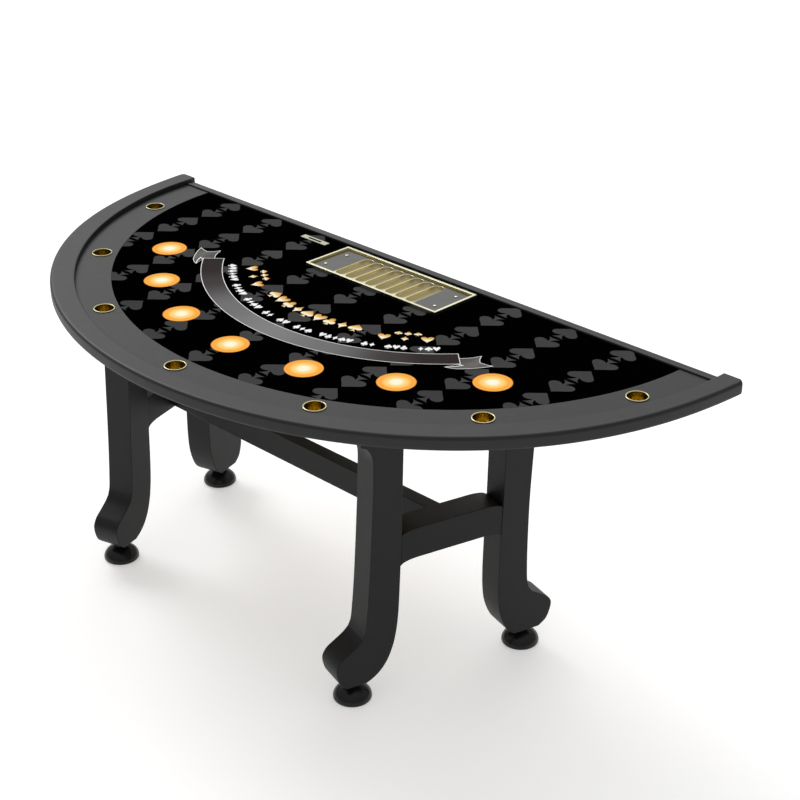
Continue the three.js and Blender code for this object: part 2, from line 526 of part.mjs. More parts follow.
// middle stretcher between the trestles, with tenons into both side stretchers
{
  const xC = FOOT_REAR[0] * U + sd.x * sMid;         // trestle centre line at y = 0
  const xi = y => xC + (sd.x / sd.y) * y - (ST + 0.4) / Math.abs(sd.y);
  const p = [[-xi(-CS_T), -CS_T], [xi(-CS_T), -CS_T], [xi(CS_T), CS_T], [-xi(CS_T), CS_T]];
  let m = solid(slab(p, CS_Z0, CS_Z1));
  const zc = h(-0.4);
  m = m.add(solid(box(-xi(0) - 18, xi(0) + 18, -12, 12, zc - 25.5, zc + 19.5)));
  add('middle_stretcher', geo(m), M.lacquer());
}
// two cross rails stiffen the deck between the bearers
for (const [nm, y] of [['front', -228], ['rear', 238]]) {
  const xi = yy => FOOT_REAR[0] * U + (sd.x / sd.y) * (yy - toY(FOOT_REAR[1])) - (T + 0.4) / Math.abs(sd.y);
  const a = y - 14, b = y + 14;
  add(`cross_rail_${nm}`, slab([[-xi(a), a], [xi(a), a], [xi(b), b], [-xi(b), b]], FELT_Z - 82, DECK_BOT - GAP), M.lacquer());
}
// steel plates hold the arm rail to the deck from below
[-66, -40, -14, 14, 40, 66].forEach((deg, i) => {
  const t = deg * Math.PI / 180;
  const [x, y] = planPoint(RAIL_IN_C, t, 0);
  const g = slab(rect(-36, 36, -22, 22, 6, 2), DECK_BOT - GAP - 3, DECK_BOT - GAP);
  g.rotateZ(t + Math.PI / 2);
  g.translate(x, y, 0);
  add(`rail_plate_${i + 1}`, g, M.steel());
});

export default group;
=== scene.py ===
import bpy
import bmesh
import math
import random
import numpy as np
from mathutils import Vector, Matrix, geometry


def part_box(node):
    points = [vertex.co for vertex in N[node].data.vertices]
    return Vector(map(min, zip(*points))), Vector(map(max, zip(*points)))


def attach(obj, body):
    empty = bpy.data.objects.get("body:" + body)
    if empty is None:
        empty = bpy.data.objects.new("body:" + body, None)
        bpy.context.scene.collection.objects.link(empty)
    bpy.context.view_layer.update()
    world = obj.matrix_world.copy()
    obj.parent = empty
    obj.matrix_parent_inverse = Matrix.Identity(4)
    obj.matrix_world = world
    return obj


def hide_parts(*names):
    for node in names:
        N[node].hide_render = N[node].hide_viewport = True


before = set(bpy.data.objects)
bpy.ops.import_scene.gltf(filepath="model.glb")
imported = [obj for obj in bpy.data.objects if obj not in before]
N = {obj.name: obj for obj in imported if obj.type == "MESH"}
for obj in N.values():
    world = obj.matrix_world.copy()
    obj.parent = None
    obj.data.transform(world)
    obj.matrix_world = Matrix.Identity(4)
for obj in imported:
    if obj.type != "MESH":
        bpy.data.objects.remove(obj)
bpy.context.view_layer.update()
random.seed(7)

# ------------------------------------------------------------------ camera
cam_data = bpy.data.cameras.new("camera")
cam = bpy.data.objects.new("camera", cam_data)
bpy.context.scene.collection.objects.link(cam)
cam.location = (3.4661, -3.0806, 2.9855)
cam.rotation_euler = (math.radians(63.220), 0, math.radians(44.504))
cam_data.lens = 78.45
cam_data.sensor_width = 36
cam_data.clip_start, cam_data.clip_end = 0.05, 200
bpy.context.scene.camera = cam

# ------------------------------------------------------------------ dimensions, metres
U = 1.090
Y_MID = 0.59325
POLE = (0.17 + Y_MID) * U
FELT_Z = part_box("felt_layout")[1].z
GAP = 0.0003
DECK_TOP, DECK_BOT = FELT_Z - 0.005, FELT_Z - 0.0225
RAIL_UP, TOP_DOWN = 0.016, 0.0225
REAR_Y = 0.5573
STRIP_Y0, STRIP_Y1, STRIP_UP = 0.5194, 0.5489, 0.0052
TOP_END = STRIP_Y0 - GAP
FELT_C = [1.11755, -0.08223, -0.01255, 0.00239]
RAIL_IN_C = [1.2150, -0.0694, -0.0169, 0.0030]
RAIL_OUT_C = [1.27445, -0.02075, -0.08285, 0.02578]
CUPS = [(-0.9369, -0.3144), (-0.7456, -0.6609), (-0.4163, -0.9007), (0, -0.992),
        (0.4163, -0.9007), (0.7456, -0.6609), (0.9369, -0.3144)]
TRAY_W, TRAY_D, TRAY_Y, TRAY_UP, TRAY_WALL = 0.553, 0.184, 0.4007, 0.011, 0.009
SLOT_X, SLOT_Y = -0.410, 0.472


def to_y(y):
    return (y + Y_MID) * U


def poly_r(c, t):
    return c[0] + c[1] * t ** 2 + c[2] * t ** 4 + c[3] * t ** 6


def plan(c, t, off=0.0):
    r = poly_r(c, t) * U + off
    return r * math.sin(t), POLE - r * math.cos(t)


def theta_at(c, y, off=0.0):
    lo, hi = 0.6, 1.5
    for _ in range(50):
        m = (lo + hi) / 2
        if plan(c, m, off)[1] < y:
            lo = m
        else:
            hi = m
    return (lo + hi) / 2


def arc(c, off, y_end, n):
    te = theta_at(c, y_end, off)
    return [plan(c, -te + 2 * te * i / n, off) for i in range(n + 1)]


# ------------------------------------------------------------------ materials
def material(name, base, rough=0.5, metal=0.0, **sockets):
    m = bpy.data.materials.new(name)
    m.use_nodes = True
    nt = m.node_tree
    b = nt.nodes["Principled BSDF"]
    b.inputs["Base Color"].default_value = (*base, 1)
    b.inputs["Roughness"].default_value = rough
    b.inputs["Metallic"].default_value = metal
    for k, v in sockets.items():
        b.inputs[k.replace("_", " ")].default_value = v
    return m, nt, b


def node(nt, kind, **props):
    n = nt.nodes.new(kind)
    for k, v in props.items():
        setattr(n, k, v)
    return n


def coords(nt, scale=(1, 1, 1), rot=(0, 0, 0)):
    tc = node(nt, "ShaderNodeTexCoord")
    mp = node(nt, "ShaderNodeMapping")
    mp.inputs["Scale"].default_value = scale
    mp.inputs["Rotation"].default_value = rot
    nt.links.new(tc.outputs["Object"], mp.inputs["Vector"])
    return mp.outputs["Vector"]


def noise(nt, vec, scale, detail=3.0, rough=0.5, distortion=0.0):
    n = node(nt, "ShaderNodeTexNoise")
    n.inputs["Scale"].default_value = scale
    n.inputs["Detail"].default_value = detail
    n.inputs["Roughness"].default_value = rough
    n.inputs["Distortion"].default_value = distortion
    nt.links.new(vec, n.inputs["Vector"])
    return n.outputs["Fac"]


def ramp(nt, fac, stops, interp="LINEAR"):
    r = node(nt, "ShaderNodeValToRGB")
    e = r.color_ramp.elements
    r.color_ramp.interpolation = interp
    e[0].position, e[0].color = stops[0][0], (*stops[0][1], 1)
    e[1].position, e[1].color = stops[-1][0], (*stops[-1][1], 1)
    for p, c in stops[1:-1]:
        x = e.new(p)
        x.color = (*c, 1)
    nt.links.new(fac, r.inputs["Fac"])
    return r.outputs["Color"]


def remap(nt, fac, a, b, c, d):
    r = node(nt, "ShaderNodeMapRange")
    for k, v in zip(("From Min", "From Max", "To Min", "To Max"), (a, b, c, d)):
        r.inputs[k].default_value = v
    nt.links.new(fac, r.inputs["Value"])
    return r.outputs["Result"]


def bump(nt, b, height, strength, dist, chain=None):
    n = node(nt, "ShaderNodeBump")
    n.inputs["Strength"].default_value = strength
    n.inputs["Distance"].default_value = dist
    nt.links.new(height, n.inputs["Height"])
    if chain is not None:
        nt.links.new(chain, n.inputs["Normal"])
    nt.links.new(n.outputs["Normal"], b.inputs["Normal"])
    return n.outputs["Normal"]


def math_node(nt, op, a, b=None):
    n = node(nt, "ShaderNodeMath", operation=op)
    for i, v in enumerate((a, b)):
        if v is None:
            continue
        if isinstance(v, (int, float)):
            n.inputs[i].default_value = v
        else:
            nt.links.new(v, n.inputs[i])
    return n.outputs[0]


def lacquer(name, tone, rough=0.42, grain_axis=(6, 6, 60), spec=0.27):
    """Sprayed satin lacquer over close-grained wood: slight tone drift, faint grain, orange peel."""
    m, nt, b = material(name, tone, rough)
    b.inputs["Specular IOR Level"].default_value = spec
    v = coords(nt)
    big = noise(nt, v, 2.2, 2, 0.5)
    col = ramp(nt, big, [(0.3, tuple(x * 0.96 for x in tone)), (0.7, tuple(x * 1.04 for x in tone))])
    nt.links.new(col, b.inputs["Base Color"])
    g = noise(nt, coords(nt, grain_axis), 9, 5, 0.6, 0.4)
    mottled = noise(nt, v, 35, 3, 0.5)
    r = remap(nt, mottled, 0.25, 0.75, rough - 0.015, rough + 0.02)
    nt.links.new(r, b.inputs["Roughness"])
    n1 = bump(nt, b, g, 0.02, 0.0004)
    bump(nt, b, noise(nt, v, 420, 2, 0.5), 0.03, 0.0003, n1)
    return m


def metal(name, tone, rough, aniso_axis=None, var=0.06, grain=0.05, dark=None):
    m, nt, b = material(name, tone, rough, 1.0)
    v = coords(nt)
    big = noise(nt, v, 14, 4, 0.55)
    lo = dark or tuple(x * (1 - var) for x in tone)
    col = ramp(nt, big, [(0.3, lo), (0.7, tuple(min(1, x * (1 + var)) for x in tone))])
    nt.links.new(col, b.inputs["Base Color"])
    streak = noise(nt, coords(nt, aniso_axis or (1, 1, 1)), 90, 4, 0.6)
    nt.links.new(remap(nt, streak, 0.3, 0.7, max(0.03, rough - 0.06), rough + 0.08), b.inputs["Roughness"])
    bump(nt, b, streak, grain, 0.0002)
    return m


def weave(nt, b, rough=0.9, strength=0.35, pitch=0.00095):
    """Close plain weave of a table cloth: two crossed sets of ribs, plus short fibre fuzz."""
    v = coords(nt)
    sep = node(nt, "ShaderNodeSeparateXYZ")
    nt.links.new(v, sep.inputs[0])
    k = 2 * math.pi / pitch
    sx = math_node(nt, "SINE", math_node(nt, "MULTIPLY", sep.outputs[0], k))
    sy = math_node(nt, "SINE", math_node(nt, "MULTIPLY", sep.outputs[1], k))
    w = math_node(nt, "MULTIPLY", sx, sy)
    fuzz = noise(nt, v, 900, 3, 0.6)
    h = math_node(nt, "ADD", math_node(nt, "MULTIPLY", w, 0.5), fuzz)
    slack = noise(nt, v, 3.0, 2, 0.5)
    n1 = bump(nt, b, slack, 0.04, 0.004)
    bump(nt, b, h, strength, 0.00018, n1)
    return w, fuzz


def cloth(name, stops, rough=0.85, fac=None, emit=0.0, metallic=0.0, spec=0.12):
    m, nt, b = material(name, stops[0][1], rough, metallic)
    b.inputs["Specular IOR Level"].default_value = spec
    w, fuzz = weave(nt, b)
    if fac is None:
        drift = noise(nt, coords(nt), 5, 3, 0.5)
        c0 = stops[0][1]
        col = ramp(nt, math_node(nt, "ADD", math_node(nt, "MULTIPLY", drift, 0.6), math_node(nt, "MULTIPLY", fuzz, 0.4)),
                   [(0.3, tuple(x * 0.86 for x in c0)), (0.7, tuple(x * 1.12 for x in c0))])
    else:
        col = ramp(nt, fac(nt), stops, "EASE")
    nt.links.new(col, b.inputs["Base Color"])
    # a faint emission in the print colour makes the cloth glow: painted light, not a lamp
    if emit:
        nt.links.new(col, b.inputs["Emission Color"])
        b.inputs["Emission Strength"].default_value = emit
    return m


def uv_len(nt):
    a = node(nt, "ShaderNodeUVMap", uv_map="print")
    n = node(nt, "ShaderNodeVectorMath", operation="LENGTH")
    nt.links.new(a.outputs[0], n.inputs[0])
    return n.outputs["Value"]


def uv_y(nt):
    a = node(nt, "ShaderNodeUVMap", uv_map="print")
    s = node(nt, "ShaderNodeSeparateXYZ")
    nt.links.new(a.outputs[0], s.inputs[0])
    return s.outputs[1]


def uv_x(nt):
    a = node(nt, "ShaderNodeUVMap", uv_map="print")
    s = node(nt, "ShaderNodeSeparateXYZ")
    nt.links.new(a.outputs[0], s.inputs[0])
    return s.outputs[0]


RAIL_TONE = (0.017, 0.017, 0.0172)
# leg tone is the rail's grey lacquer at about half its tone: painted shade for the base under the table
SHADED_LEG_TONE = (0.0085, 0.0085, 0.0087)
mat_rail = lacquer("grey_lacquer", RAIL_TONE, 0.46, (30, 30, 30))
mat_ledge = lacquer("grey_ledge_lacquer", RAIL_TONE, 0.5, (8, 60, 60))
# legs, stretchers, cross rails and bearers take this darkened copy of the rail lacquer as painted shade
mat_leg_shaded = lacquer("black_lacquer", SHADED_LEG_TONE, 0.5, (60, 60, 6), 0.24)
mat_stretch_shaded = lacquer("shade_darkened_lacquer_cross", SHADED_LEG_TONE, 0.5, (8, 60, 60), 0.22)
mat_felt = cloth("cloth_black", [(0, (0.0005, 0.0005, 0.0005))], 1.0, spec=0.0)
mat_spade = cloth("cloth_print_grey", [(0, (0.060, 0.060, 0.060))], 1.0, spec=0.0)
mat_white = cloth("cloth_print_white", [(0, (0.97, 0.97, 0.97))], 0.9, spec=0.0)
# betting spots: printed white-to-orange gradient, plus a faint emission that makes them glow as painted light
mat_spot_glowing = cloth("cloth_print_spot_glowing", [(0.0, (1.0, 0.97, 0.86)), (0.22, (1.0, 0.93, 0.66)), (0.5, (1.0, 0.66, 0.2)),
                                      (0.82, (1.0, 0.40, 0.035)), (0.93, (1.0, 0.44, 0.07)), (1.0, (0.75, 0.25, 0.02))],
                 0.8, uv_len, emit=0.06)
mat_gold = cloth("cloth_print_gold", [(0.0, (0.93, 0.68, 0.28)), (0.40, (1.0, 0.93, 0.74)), (0.62, (0.93, 0.58, 0.20)),
                                      (1.0, (0.60, 0.27, 0.06))], 0.9, uv_y, spec=0.0)
mat_ribbon = cloth("cloth_print_ribbon", [(0.0, (0.225, 0.225, 0.225)), (0.35, (0.17, 0.168, 0.168)), (0.68, (0.045, 0.038, 0.037)),
                                          (0.85, (0.022, 0.013, 0.013)), (1.0, (0.019, 0.010, 0.010))], 0.85, uv_x)
mat_tail = cloth("cloth_print_ribbon_tail", [(0.0, (0.16, 0.15, 0.14)), (0.5, (0.10, 0.095, 0.088)), (1.0, (0.035, 0.03, 0.028))], 0.85, uv_x)
mat_cup = metal("cup_brass_inside", (0.74, 0.60, 0.12), 0.14, (1, 1, 30), 0.08)
mat_cup_rim = metal("cup_brass_rim", (0.40, 0.37, 0.22), 0.2, (1, 1, 1), 0.05)
mat_frame = metal("frame_brass", (0.54, 0.53, 0.39), 0.24, (1, 30, 30), 0.04)
mat_frame_gold = metal("frame_gold", (0.60, 0.50, 0.16), 0.22, (1, 30, 30), 0.05)
mat_plate = metal("tray_plate", (0.08, 0.08, 0.078), 0.38, (30, 1, 30), 0.04)
mat_trough = metal("tray_trough", (0.58, 0.51, 0.30), 0.46, (60, 1, 60), 0.05)
# ridge brass: the smoother finish on the flute lips is real, its brighter tone is a painted highlight line
mat_ridge = metal("tray_ridge", (0.72, 0.66, 0.38), 0.22, (60, 1, 60), 0.05)
mat_steel = metal("zinc_steel", (0.52, 0.52, 0.53), 0.36, (1, 1, 1), 0.1)
mat_slot = metal("slot_plate_metal", (0.36, 0.36, 0.27), 0.3, (1, 40, 40), 0.06)
# slot throat: near-black copy of the slot metal, painted shade down the slot
mat_throat_shade = metal("slot_throat_painted_shade", (0.02, 0.02, 0.018), 0.6, (1, 40, 40), 0.06)
mat_screw = metal("screw_bright", (0.62, 0.62, 0.46), 0.24)


def gloss_black():
    m, nt, b = material("foot_gloss_black", (0.004, 0.004, 0.0043), 0.26)
    b.inputs["Specular IOR Level"].default_value = 0.26
    b.inputs["Coat Weight"].default_value = 0.12
    b.inputs["Coat Roughness"].default_value = 0.16
    v = coords(nt)
    nt.links.new(remap(nt, noise(nt, v, 40, 4, 0.6), 0.3, 0.75, 0.22, 0.34), b.inputs["Roughness"])
    nt.links.new(ramp(nt, noise(nt, v, 12, 3), [(0.3, (0.003, 0.003, 0.003)), (0.7, (0.0055, 0.0055, 0.006))]), b.inputs["Base Color"])
    bump(nt, b, noise(nt, v, 260, 2), 0.03, 0.0003)
    return m


def powder():
    m, nt, b = material("powder_coat", (0.03, 0.031, 0.033), 0.55)
    v = coords(nt)
    nt.links.new(ramp(nt, noise(nt, v, 6, 3), [(0.3, (0.026, 0.027, 0.029)), (0.7, (0.036, 0.037, 0.039))]), b.inputs["Base Color"])
    bump(nt, b, noise(nt, v, 700, 2, 0.6), 0.25, 0.0004)
    return m


def plywood():
    m, nt, b = material("plywood", (0.42, 0.29, 0.16), 0.62)
    sep = node(nt, "ShaderNodeSeparateXYZ")
    nt.links.new(coords(nt), sep.inputs[0])
    face = noise(nt, coords(nt, (1.2, 14, 14)), 3.0, 6, 0.62, 1.2)
    wood = ramp(nt, face, [(0.25, (0.30, 0.18, 0.08)), (0.5, (0.44, 0.30, 0.16)), (0.78, (0.56, 0.42, 0.25))])
    ply = math_node(nt, "FRACT", math_node(nt, "MULTIPLY", sep.outputs[2], 1 / 0.0029))
    dark = ramp(nt, ply, [(0.0, (0.55, 0.45, 0.36)), (0.45, (1, 1, 1)), (0.55, (0.72, 0.6, 0.48)), (1.0, (0.6, 0.5, 0.4))])
    geo = node(nt, "ShaderNodeNewGeometry")
    gs = node(nt, "ShaderNodeSeparateXYZ")
    nt.links.new(geo.outputs["Normal"], gs.inputs[0])
    up = math_node(nt, "ABSOLUTE", gs.outputs[2])
    mix = node(nt, "ShaderNodeMix", data_type="RGBA", blend_type="MULTIPLY")
    nt.links.new(math_node(nt, "SUBTRACT", 1.0, up), mix.inputs[0])
    nt.links.new(wood, mix.inputs[6])
    nt.links.new(dark, mix.inputs[7])
    nt.links.new(mix.outputs[2], b.inputs["Base Color"])
    bump(nt, b, face, 0.12, 0.0006)
    return m


def foam():
    m, nt, b = material("foam_sheet", (0.28, 0.28, 0.26), 0.95)
    v = coords(nt)
    cells = node(nt, "ShaderNodeTexVoronoi")
    cells.inputs["Scale"].default_value = 900
    nt.links.new(v, cells.inputs["Vector"])
    nt.links.new(ramp(nt, cells.outputs["Distance"], [(0.1, (0.16, 0.16, 0.15)), (0.6, (0.34, 0.34, 0.32))]), b.inputs["Base Color"])
    bump(nt, b, cells.outputs["Distance"], 0.5, 0.0005)
    return m


mat_foot, mat_powder, mat_ply, mat_foam = gloss_black(), powder(), plywood(), foam()


# ------------------------------------------------------------------ mesh helpers
def make(name, verts, faces, mats, body, nodes=(), fmat=None, smooth=35, bevel=None, uv=None, keep_normals=False, merge=1e-6):
    me = bpy.data.meshes.new(name)
    me.from_pydata([tuple(v) for v in verts], [], [tuple(f) for f in faces])
    for m in (mats if isinstance(mats, (list, tuple)) else [mats]):
        me.materials.append(m)
    if fmat is not None:
        me.polygons.foreach_set("material_index", list(fmat))
    if uv is not None:
        layer = me.uv_layers.new(name="print")
        layer.data.foreach_set("uv", np.array(uv, np.float32).ravel())
    bm = bmesh.new()
    bm.from_mesh(me)
    if merge:
        bmesh.ops.remove_doubles(bm, verts=bm.verts, dist=merge)
    if not keep_normals:
        bmesh.ops.recalc_face_normals(bm, faces=bm.faces)
    bm.to_mesh(me)
    bm.free()
    me.validate()
    o = bpy.data.objects.new(name, me)
    bpy.context.scene.collection.objects.link(o)
    if smooth:
        me.shade_smooth()
        me.set_sharp_from_angle(angle=math.radians(smooth))
    if bevel:
        add_bevel(o, *bevel)
    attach(o, body)
    if nodes:
        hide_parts(*nodes)
    return o


def add_bevel(o, width, segs=3, angle=32):
    b = o.modifiers.new("edge", "BEVEL")
    b.width, b.segments, b.limit_method, b.angle_limit = width, segs, "ANGLE", math.radians(angle)
    b.harden_normals = False
    b.use_clamp_overlap = True
    w = o.modifiers.new("wn", "WEIGHTED_NORMAL")
    w.keep_sharp = False
    o.data.shade_smooth()
    return o


def triangulated(loops, holes=(), edges_extra=()):
    """Constrained triangulation. loops are polygons with ids 0.., holes cut. Returns xy points, triangles and each triangle's polygon ids."""
    pts, edges, faces = [], [], []
    for lp in list(loops) + list(holes):
        if sum(lp[i - 1][0] * lp[i][1] - lp[i][0] * lp[i - 1][1] for i in range(len(lp))) < 0:
            lp = lp[::-1]
        i0 = len(pts)
        pts.extend(Vector((p[0], p[1])) for p in lp)
        faces.append(list(range(i0, i0 + len(lp))))
    for lp in edges_extra:
        i0 = len(pts)
        pts.extend(Vector((p[0], p[1])) for p in lp)
        edges.extend((i0 + i, i0 + i + 1) for i in range(len(lp) - 1))
    r = geometry.delaunay_2d_cdt(pts, edges, faces, 0, 1e-7, True)
    v, f, ids = r[0], r[2], r[5]
    nh = len(loops)
    out_f, out_i = [], []
    for tri, own in zip(f, ids):
        if not own or any(i >= nh for i in own):
            continue
        out_f.append(list(tri))
        out_i.append(set(own))
    return [(p.x, p.y) for p in v], out_f, out_i


def prism(points, tris, z0, z1):
    """Closed body of a triangulated plan between two heights."""
    used = sorted({i for t in tris for i in t})
    at = {k: i for i, k in enumerate(used)}
    n = len(used)
    v = [(points[k][0], points[k][1], z1) for k in used] + [(points[k][0], points[k][1], z0) for k in used]
    f, seen = [], {}
    for t in tris:
        t = [at[i] for i in t]
        f.append(t)
        for a, b in zip(t, t[1:] + t[:1]):
            seen[(a, b)] = 1
    top = list(f)
    f += [[i + n for i in reversed(t)] for t in top]
    f += [[b, a, a + n, b + n] for (a, b) in seen if (b, a) not in seen]
    return v, f


def circle(cx, cy, r, n):
    return [(cx + r * math.cos(2 * math.pi * i / n), cy + r * math.sin(2 * math.pi * i / n)) for i in range(n)]


def rect(x0, x1, y0, y1, r=0.0, n=4):
    if not r:
        return [(x0, y0), (x1, y0), (x1, y1), (x0, y1)]
    out = []
    for cx, cy, a0 in ((x1 - r, y0 + r, -90), (x1 - r, y1 - r, 0), (x0 + r, y1 - r, 90), (x0 + r, y0 + r, 180)):
        for i in range(n + 1):
            a = math.radians(a0 + 90 * i / n)
            out.append((cx + r * math.cos(a), cy + r * math.sin(a)))
    return out


def lathe(profile, n, cx, cy, z, mats_of=None):
    """Turned body round a vertical axis. profile is (r, z) pairs; mats_of gives the material index of each band."""
    v, f, fm, ids = [], [], [], []
    for r, h in profile:
        if r < 1e-7:
            ids.append([len(v)] * n)
            v.append((cx, cy, z + h))
        else:
            i0 = len(v)
            ids.append(list(range(i0, i0 + n)))
            v.extend((cx + r * math.cos(2 * math.pi * i / n), cy + r * math.sin(2 * math.pi * i / n), z + h) for i in range(n))
    for j in range(len(profile) - 1):
        for i in range(n):
            q = [ids[j][i], ids[j][(i + 1) % n], ids[j + 1][(i + 1) % n], ids[j + 1][i]]
            q = [a for k, a in enumerate(q) if a not in q[:k]]
            if len(q) > 2:
                f.append(q)
                fm.append(mats_of[j] if mats_of else 0)
    return v, f, fm


def fillet(points, radii, n=5):
    """Rounds the corners of a closed 2D outline. One radius per point, 0 keeps a corner sharp."""
    out = []
    k = len(points)
    for i, (p, r) in enumerate(zip(points, radii)):
        if not r:
            out.append(p)
            continue
        a, b, c = Vector(points[i - 1]), Vector(p), Vector(points[(i + 1) % k])
        u, w = (a - b).normalized(), (c - b).normalized()
        ang = u.angle(w)
        if ang > math.pi - 0.02:
            out.append(p)
            continue
        d = min(r / math.tan(ang / 2), (a - b).length * 0.49, (c - b).length * 0.49)
        rr = d * math.tan(ang / 2)
        centre = b + (u + w).normalized() * (rr / math.sin(ang / 2))
        s, e = b + u * d - centre, b + w * d - centre
        a0 = math.atan2(s.y, s.x)
        da = math.atan2(s.x * e.y - s.y * e.x, s.dot(e))
        for j in range(n + 1):
            t = a0 + da * j / n
            out.append((centre.x + rr * math.cos(t), centre.y + rr * math.sin(t)))
    return out


def inset(poly, d):
    """Moves each edge of a closed polygon inward by d (counter-clockwise order)."""
    k = len(poly)
    area = sum(poly[i][0] * poly[(i + 1) % k][1] - poly[(i + 1) % k][0] * poly[i][1] for i in range(k))
    s = 1 if area > 0 else -1
    out = []
    for i in range(k):
        a, b, c = Vector(poly[i - 1]), Vector(poly[i]), Vector(poly[(i + 1) % k])
        n1 = Vector((-(b - a).y, (b - a).x))
        n2 = Vector((-(c - b).y, (c - b).x))
        if n1.length < 1e-9 or n2.length < 1e-9:
            out.append((b.x, b.y))
            continue
        n1.normalize(); n2.normalize()
        m = n1 + n2
        if m.length < 1e-6:
            out.append((b.x, b.y))
            continue
        m.normalize()
        L = min(d / max(m.dot(n1), 0.35), 2.2 * d)
        q = b + m * (s * L)
        out.append((q.x, q.y))
    return out


def catmull(ctrl, per=6):
    """Centripetal Catmull-Rom line through control points."""
    P = [Vector(p) for p in ctrl]
    P = [P[0] * 2 - P[1]] + P + [P[-1] * 2 - P[-2]]
    out = []
    for i in range(1, len(P) - 2):
        p0, p1, p2, p3 = P[i - 1:i + 3]
        d0, d1, d2 = (max((b - a).length ** 0.5, 1e-6) for a, b in ((p0, p1), (p1, p2), (p2, p3)))
        t1 = ((p1 - p0) / d0 - (p2 - p0) / (d0 + d1) + (p2 - p1) / d1) * d1
        t2 = ((p2 - p1) / d1 - (p3 - p1) / (d1 + d2) + (p3 - p2) / d2) * d1
        for j in range(per):
            t = j / per
            a, b = 2 * t ** 3 - 3 * t * t + 1, t ** 3 - 2 * t * t + t
            c, d = -2 * t ** 3 + 3 * t * t, t ** 3 - t * t
            q = p1 * a + t1 * b + p2 * c + t2 * d
            out.append(tuple(q))
    out.append(tuple(P[-2]))
    return out


# ------------------------------------------------------------------ arm rail
def rail_section(width, grow=0.0):
    """Closed section, w from the inner face, z from the cloth, shrunk by grow."""
    H, B = RAIL_UP, -TOP_DOWN
    raw = [(0.0, B), (0.0, H), (width, H), (width, B)]
    pts = []
    pts += [(0.0012, B), (0.0, B + 0.0012)]
    for i in range(9):
        a = math.pi / 2 * i / 8
        pts.append((0.0030 * (1 - math.cos(a)), H - 0.0030 + 0.0030 * math.sin(a)))
    for i in range(5):
        pts.append((0.0030 + (width - 0.0135) * (i + 0.5) / 5, H))
    for i in range(13):
        a = math.pi / 2 * i / 12
        pts.append((width - 0.0105 + 0.0105 * math.sin(a), H - 0.0105 + 0.0105 * math.cos(a)))
    pts.append((width, B + 0.012))
    for i in range(9):
        a = math.pi / 2 * i / 8
        pts.append((width - 0.0045 * (1 - math.cos(a)), B + 0.0085 - 0.0085 * math.sin(a)))
    if grow:
        pts = inset(pts, grow)
    return pts


def build_rail():
    stations = []
    mid = [a * 0.5 + b * 0.5 for a, b in zip(RAIL_IN_C, RAIL_OUT_C)]
    t_turn = theta_at(mid, REAR_Y - 0.055)
    n = 132
    for i in range(n + 1):
        t = t_turn * i / n
        stations.append(("t", t, 0.0, 0.0))
    R, r2 = 0.0155, 0.0016
    for y in (REAR_Y - 0.040, REAR_Y - 0.026, REAR_Y - 0.016):
        stations.append(("y", y, 0.0, 0.0))
    for i in range(9):
        a = math.pi / 2 * i / 8
        y = REAR_Y - R + R * math.sin(a)
        y = min(y, REAR_Y - r2) if i < 8 else REAR_Y - r2
        if i < 8 and REAR_Y - R + R * math.sin(a) >= REAR_Y - r2:
            continue
        stations.append(("y", y, R * (1 - math.cos(a)) if i < 8 else R * 0.52, 0.0))
    for i in range(1, 4):
        a = math.pi / 2 * i / 3
        stations.append(("y", REAR_Y - r2 + r2 * math.sin(a), R * (0.52 + 0.16 * i), r2 * (1 - math.cos(a))))
    rows = []
    for kind, q, corner, grow in stations:
        row = []
        if kind == "t":
            w = (poly_r(RAIL_OUT_C, q) - poly_r(RAIL_IN_C, q)) * U
            for (s, z) in rail_section(w):
                x, y = plan(RAIL_IN_C, q, s)
                row.append((x, y, FELT_Z + z))
        else:
            ti, to = theta_at(RAIL_IN_C, q), theta_at(RAIL_OUT_C, q)
            xi, xo = plan(RAIL_IN_C, ti)[0], plan(RAIL_OUT_C, to)[0]
            w = xo - xi
            for (s, z) in rail_section(w, grow):
                k = max(0.0, (s - w * 0.45) / (w * 0.55))
                row.append((xi + s - corner * k, q, FELT_Z + z))
        rows.append(row)
    full = [[(-x, y, z) for x, y, z in row] for row in reversed(rows[1:])] + rows
    v, f = [], []
    m = len(full[0])
    for row in full:
        v.extend(row)
    for i in range(len(full) - 1):
        for j in range(m):
            f.append([i * m + j, i * m + (j + 1) % m, (i + 1) * m + (j + 1) % m, (i + 1) * m + j])
    f.append(list(range(m)))
    f.append(list(range((len(full) - 1) * m, len(full) * m)))
    return make("arm_rail_lacquered", v, f, mat_rail, "table", ["arm_rail"], smooth=50)


build_rail()

# ------------------------------------------------------------------ ledge, deck edge, dealer strip
cup_xy = [(x * U, to_y(y)) for x, y in CUPS]


def build_ledge():
    outer = arc(RAIL_IN_C, -GAP, TOP_END, 260)
    inner = arc(FELT_C, 0, TOP_END, 260)
    p, t, _ = triangulated([outer + inner[::-1]], [circle(x, y, 0.0308, 48) for x, y in cup_xy])
    v, f = prism(p, t, FELT_Z - 0.0047, FELT_Z)
    return make("racetrack_ledge_board", v, f, mat_ledge, "table", ["racetrack_ledge"], smooth=30, bevel=(0.0007, 2))


build_ledge()


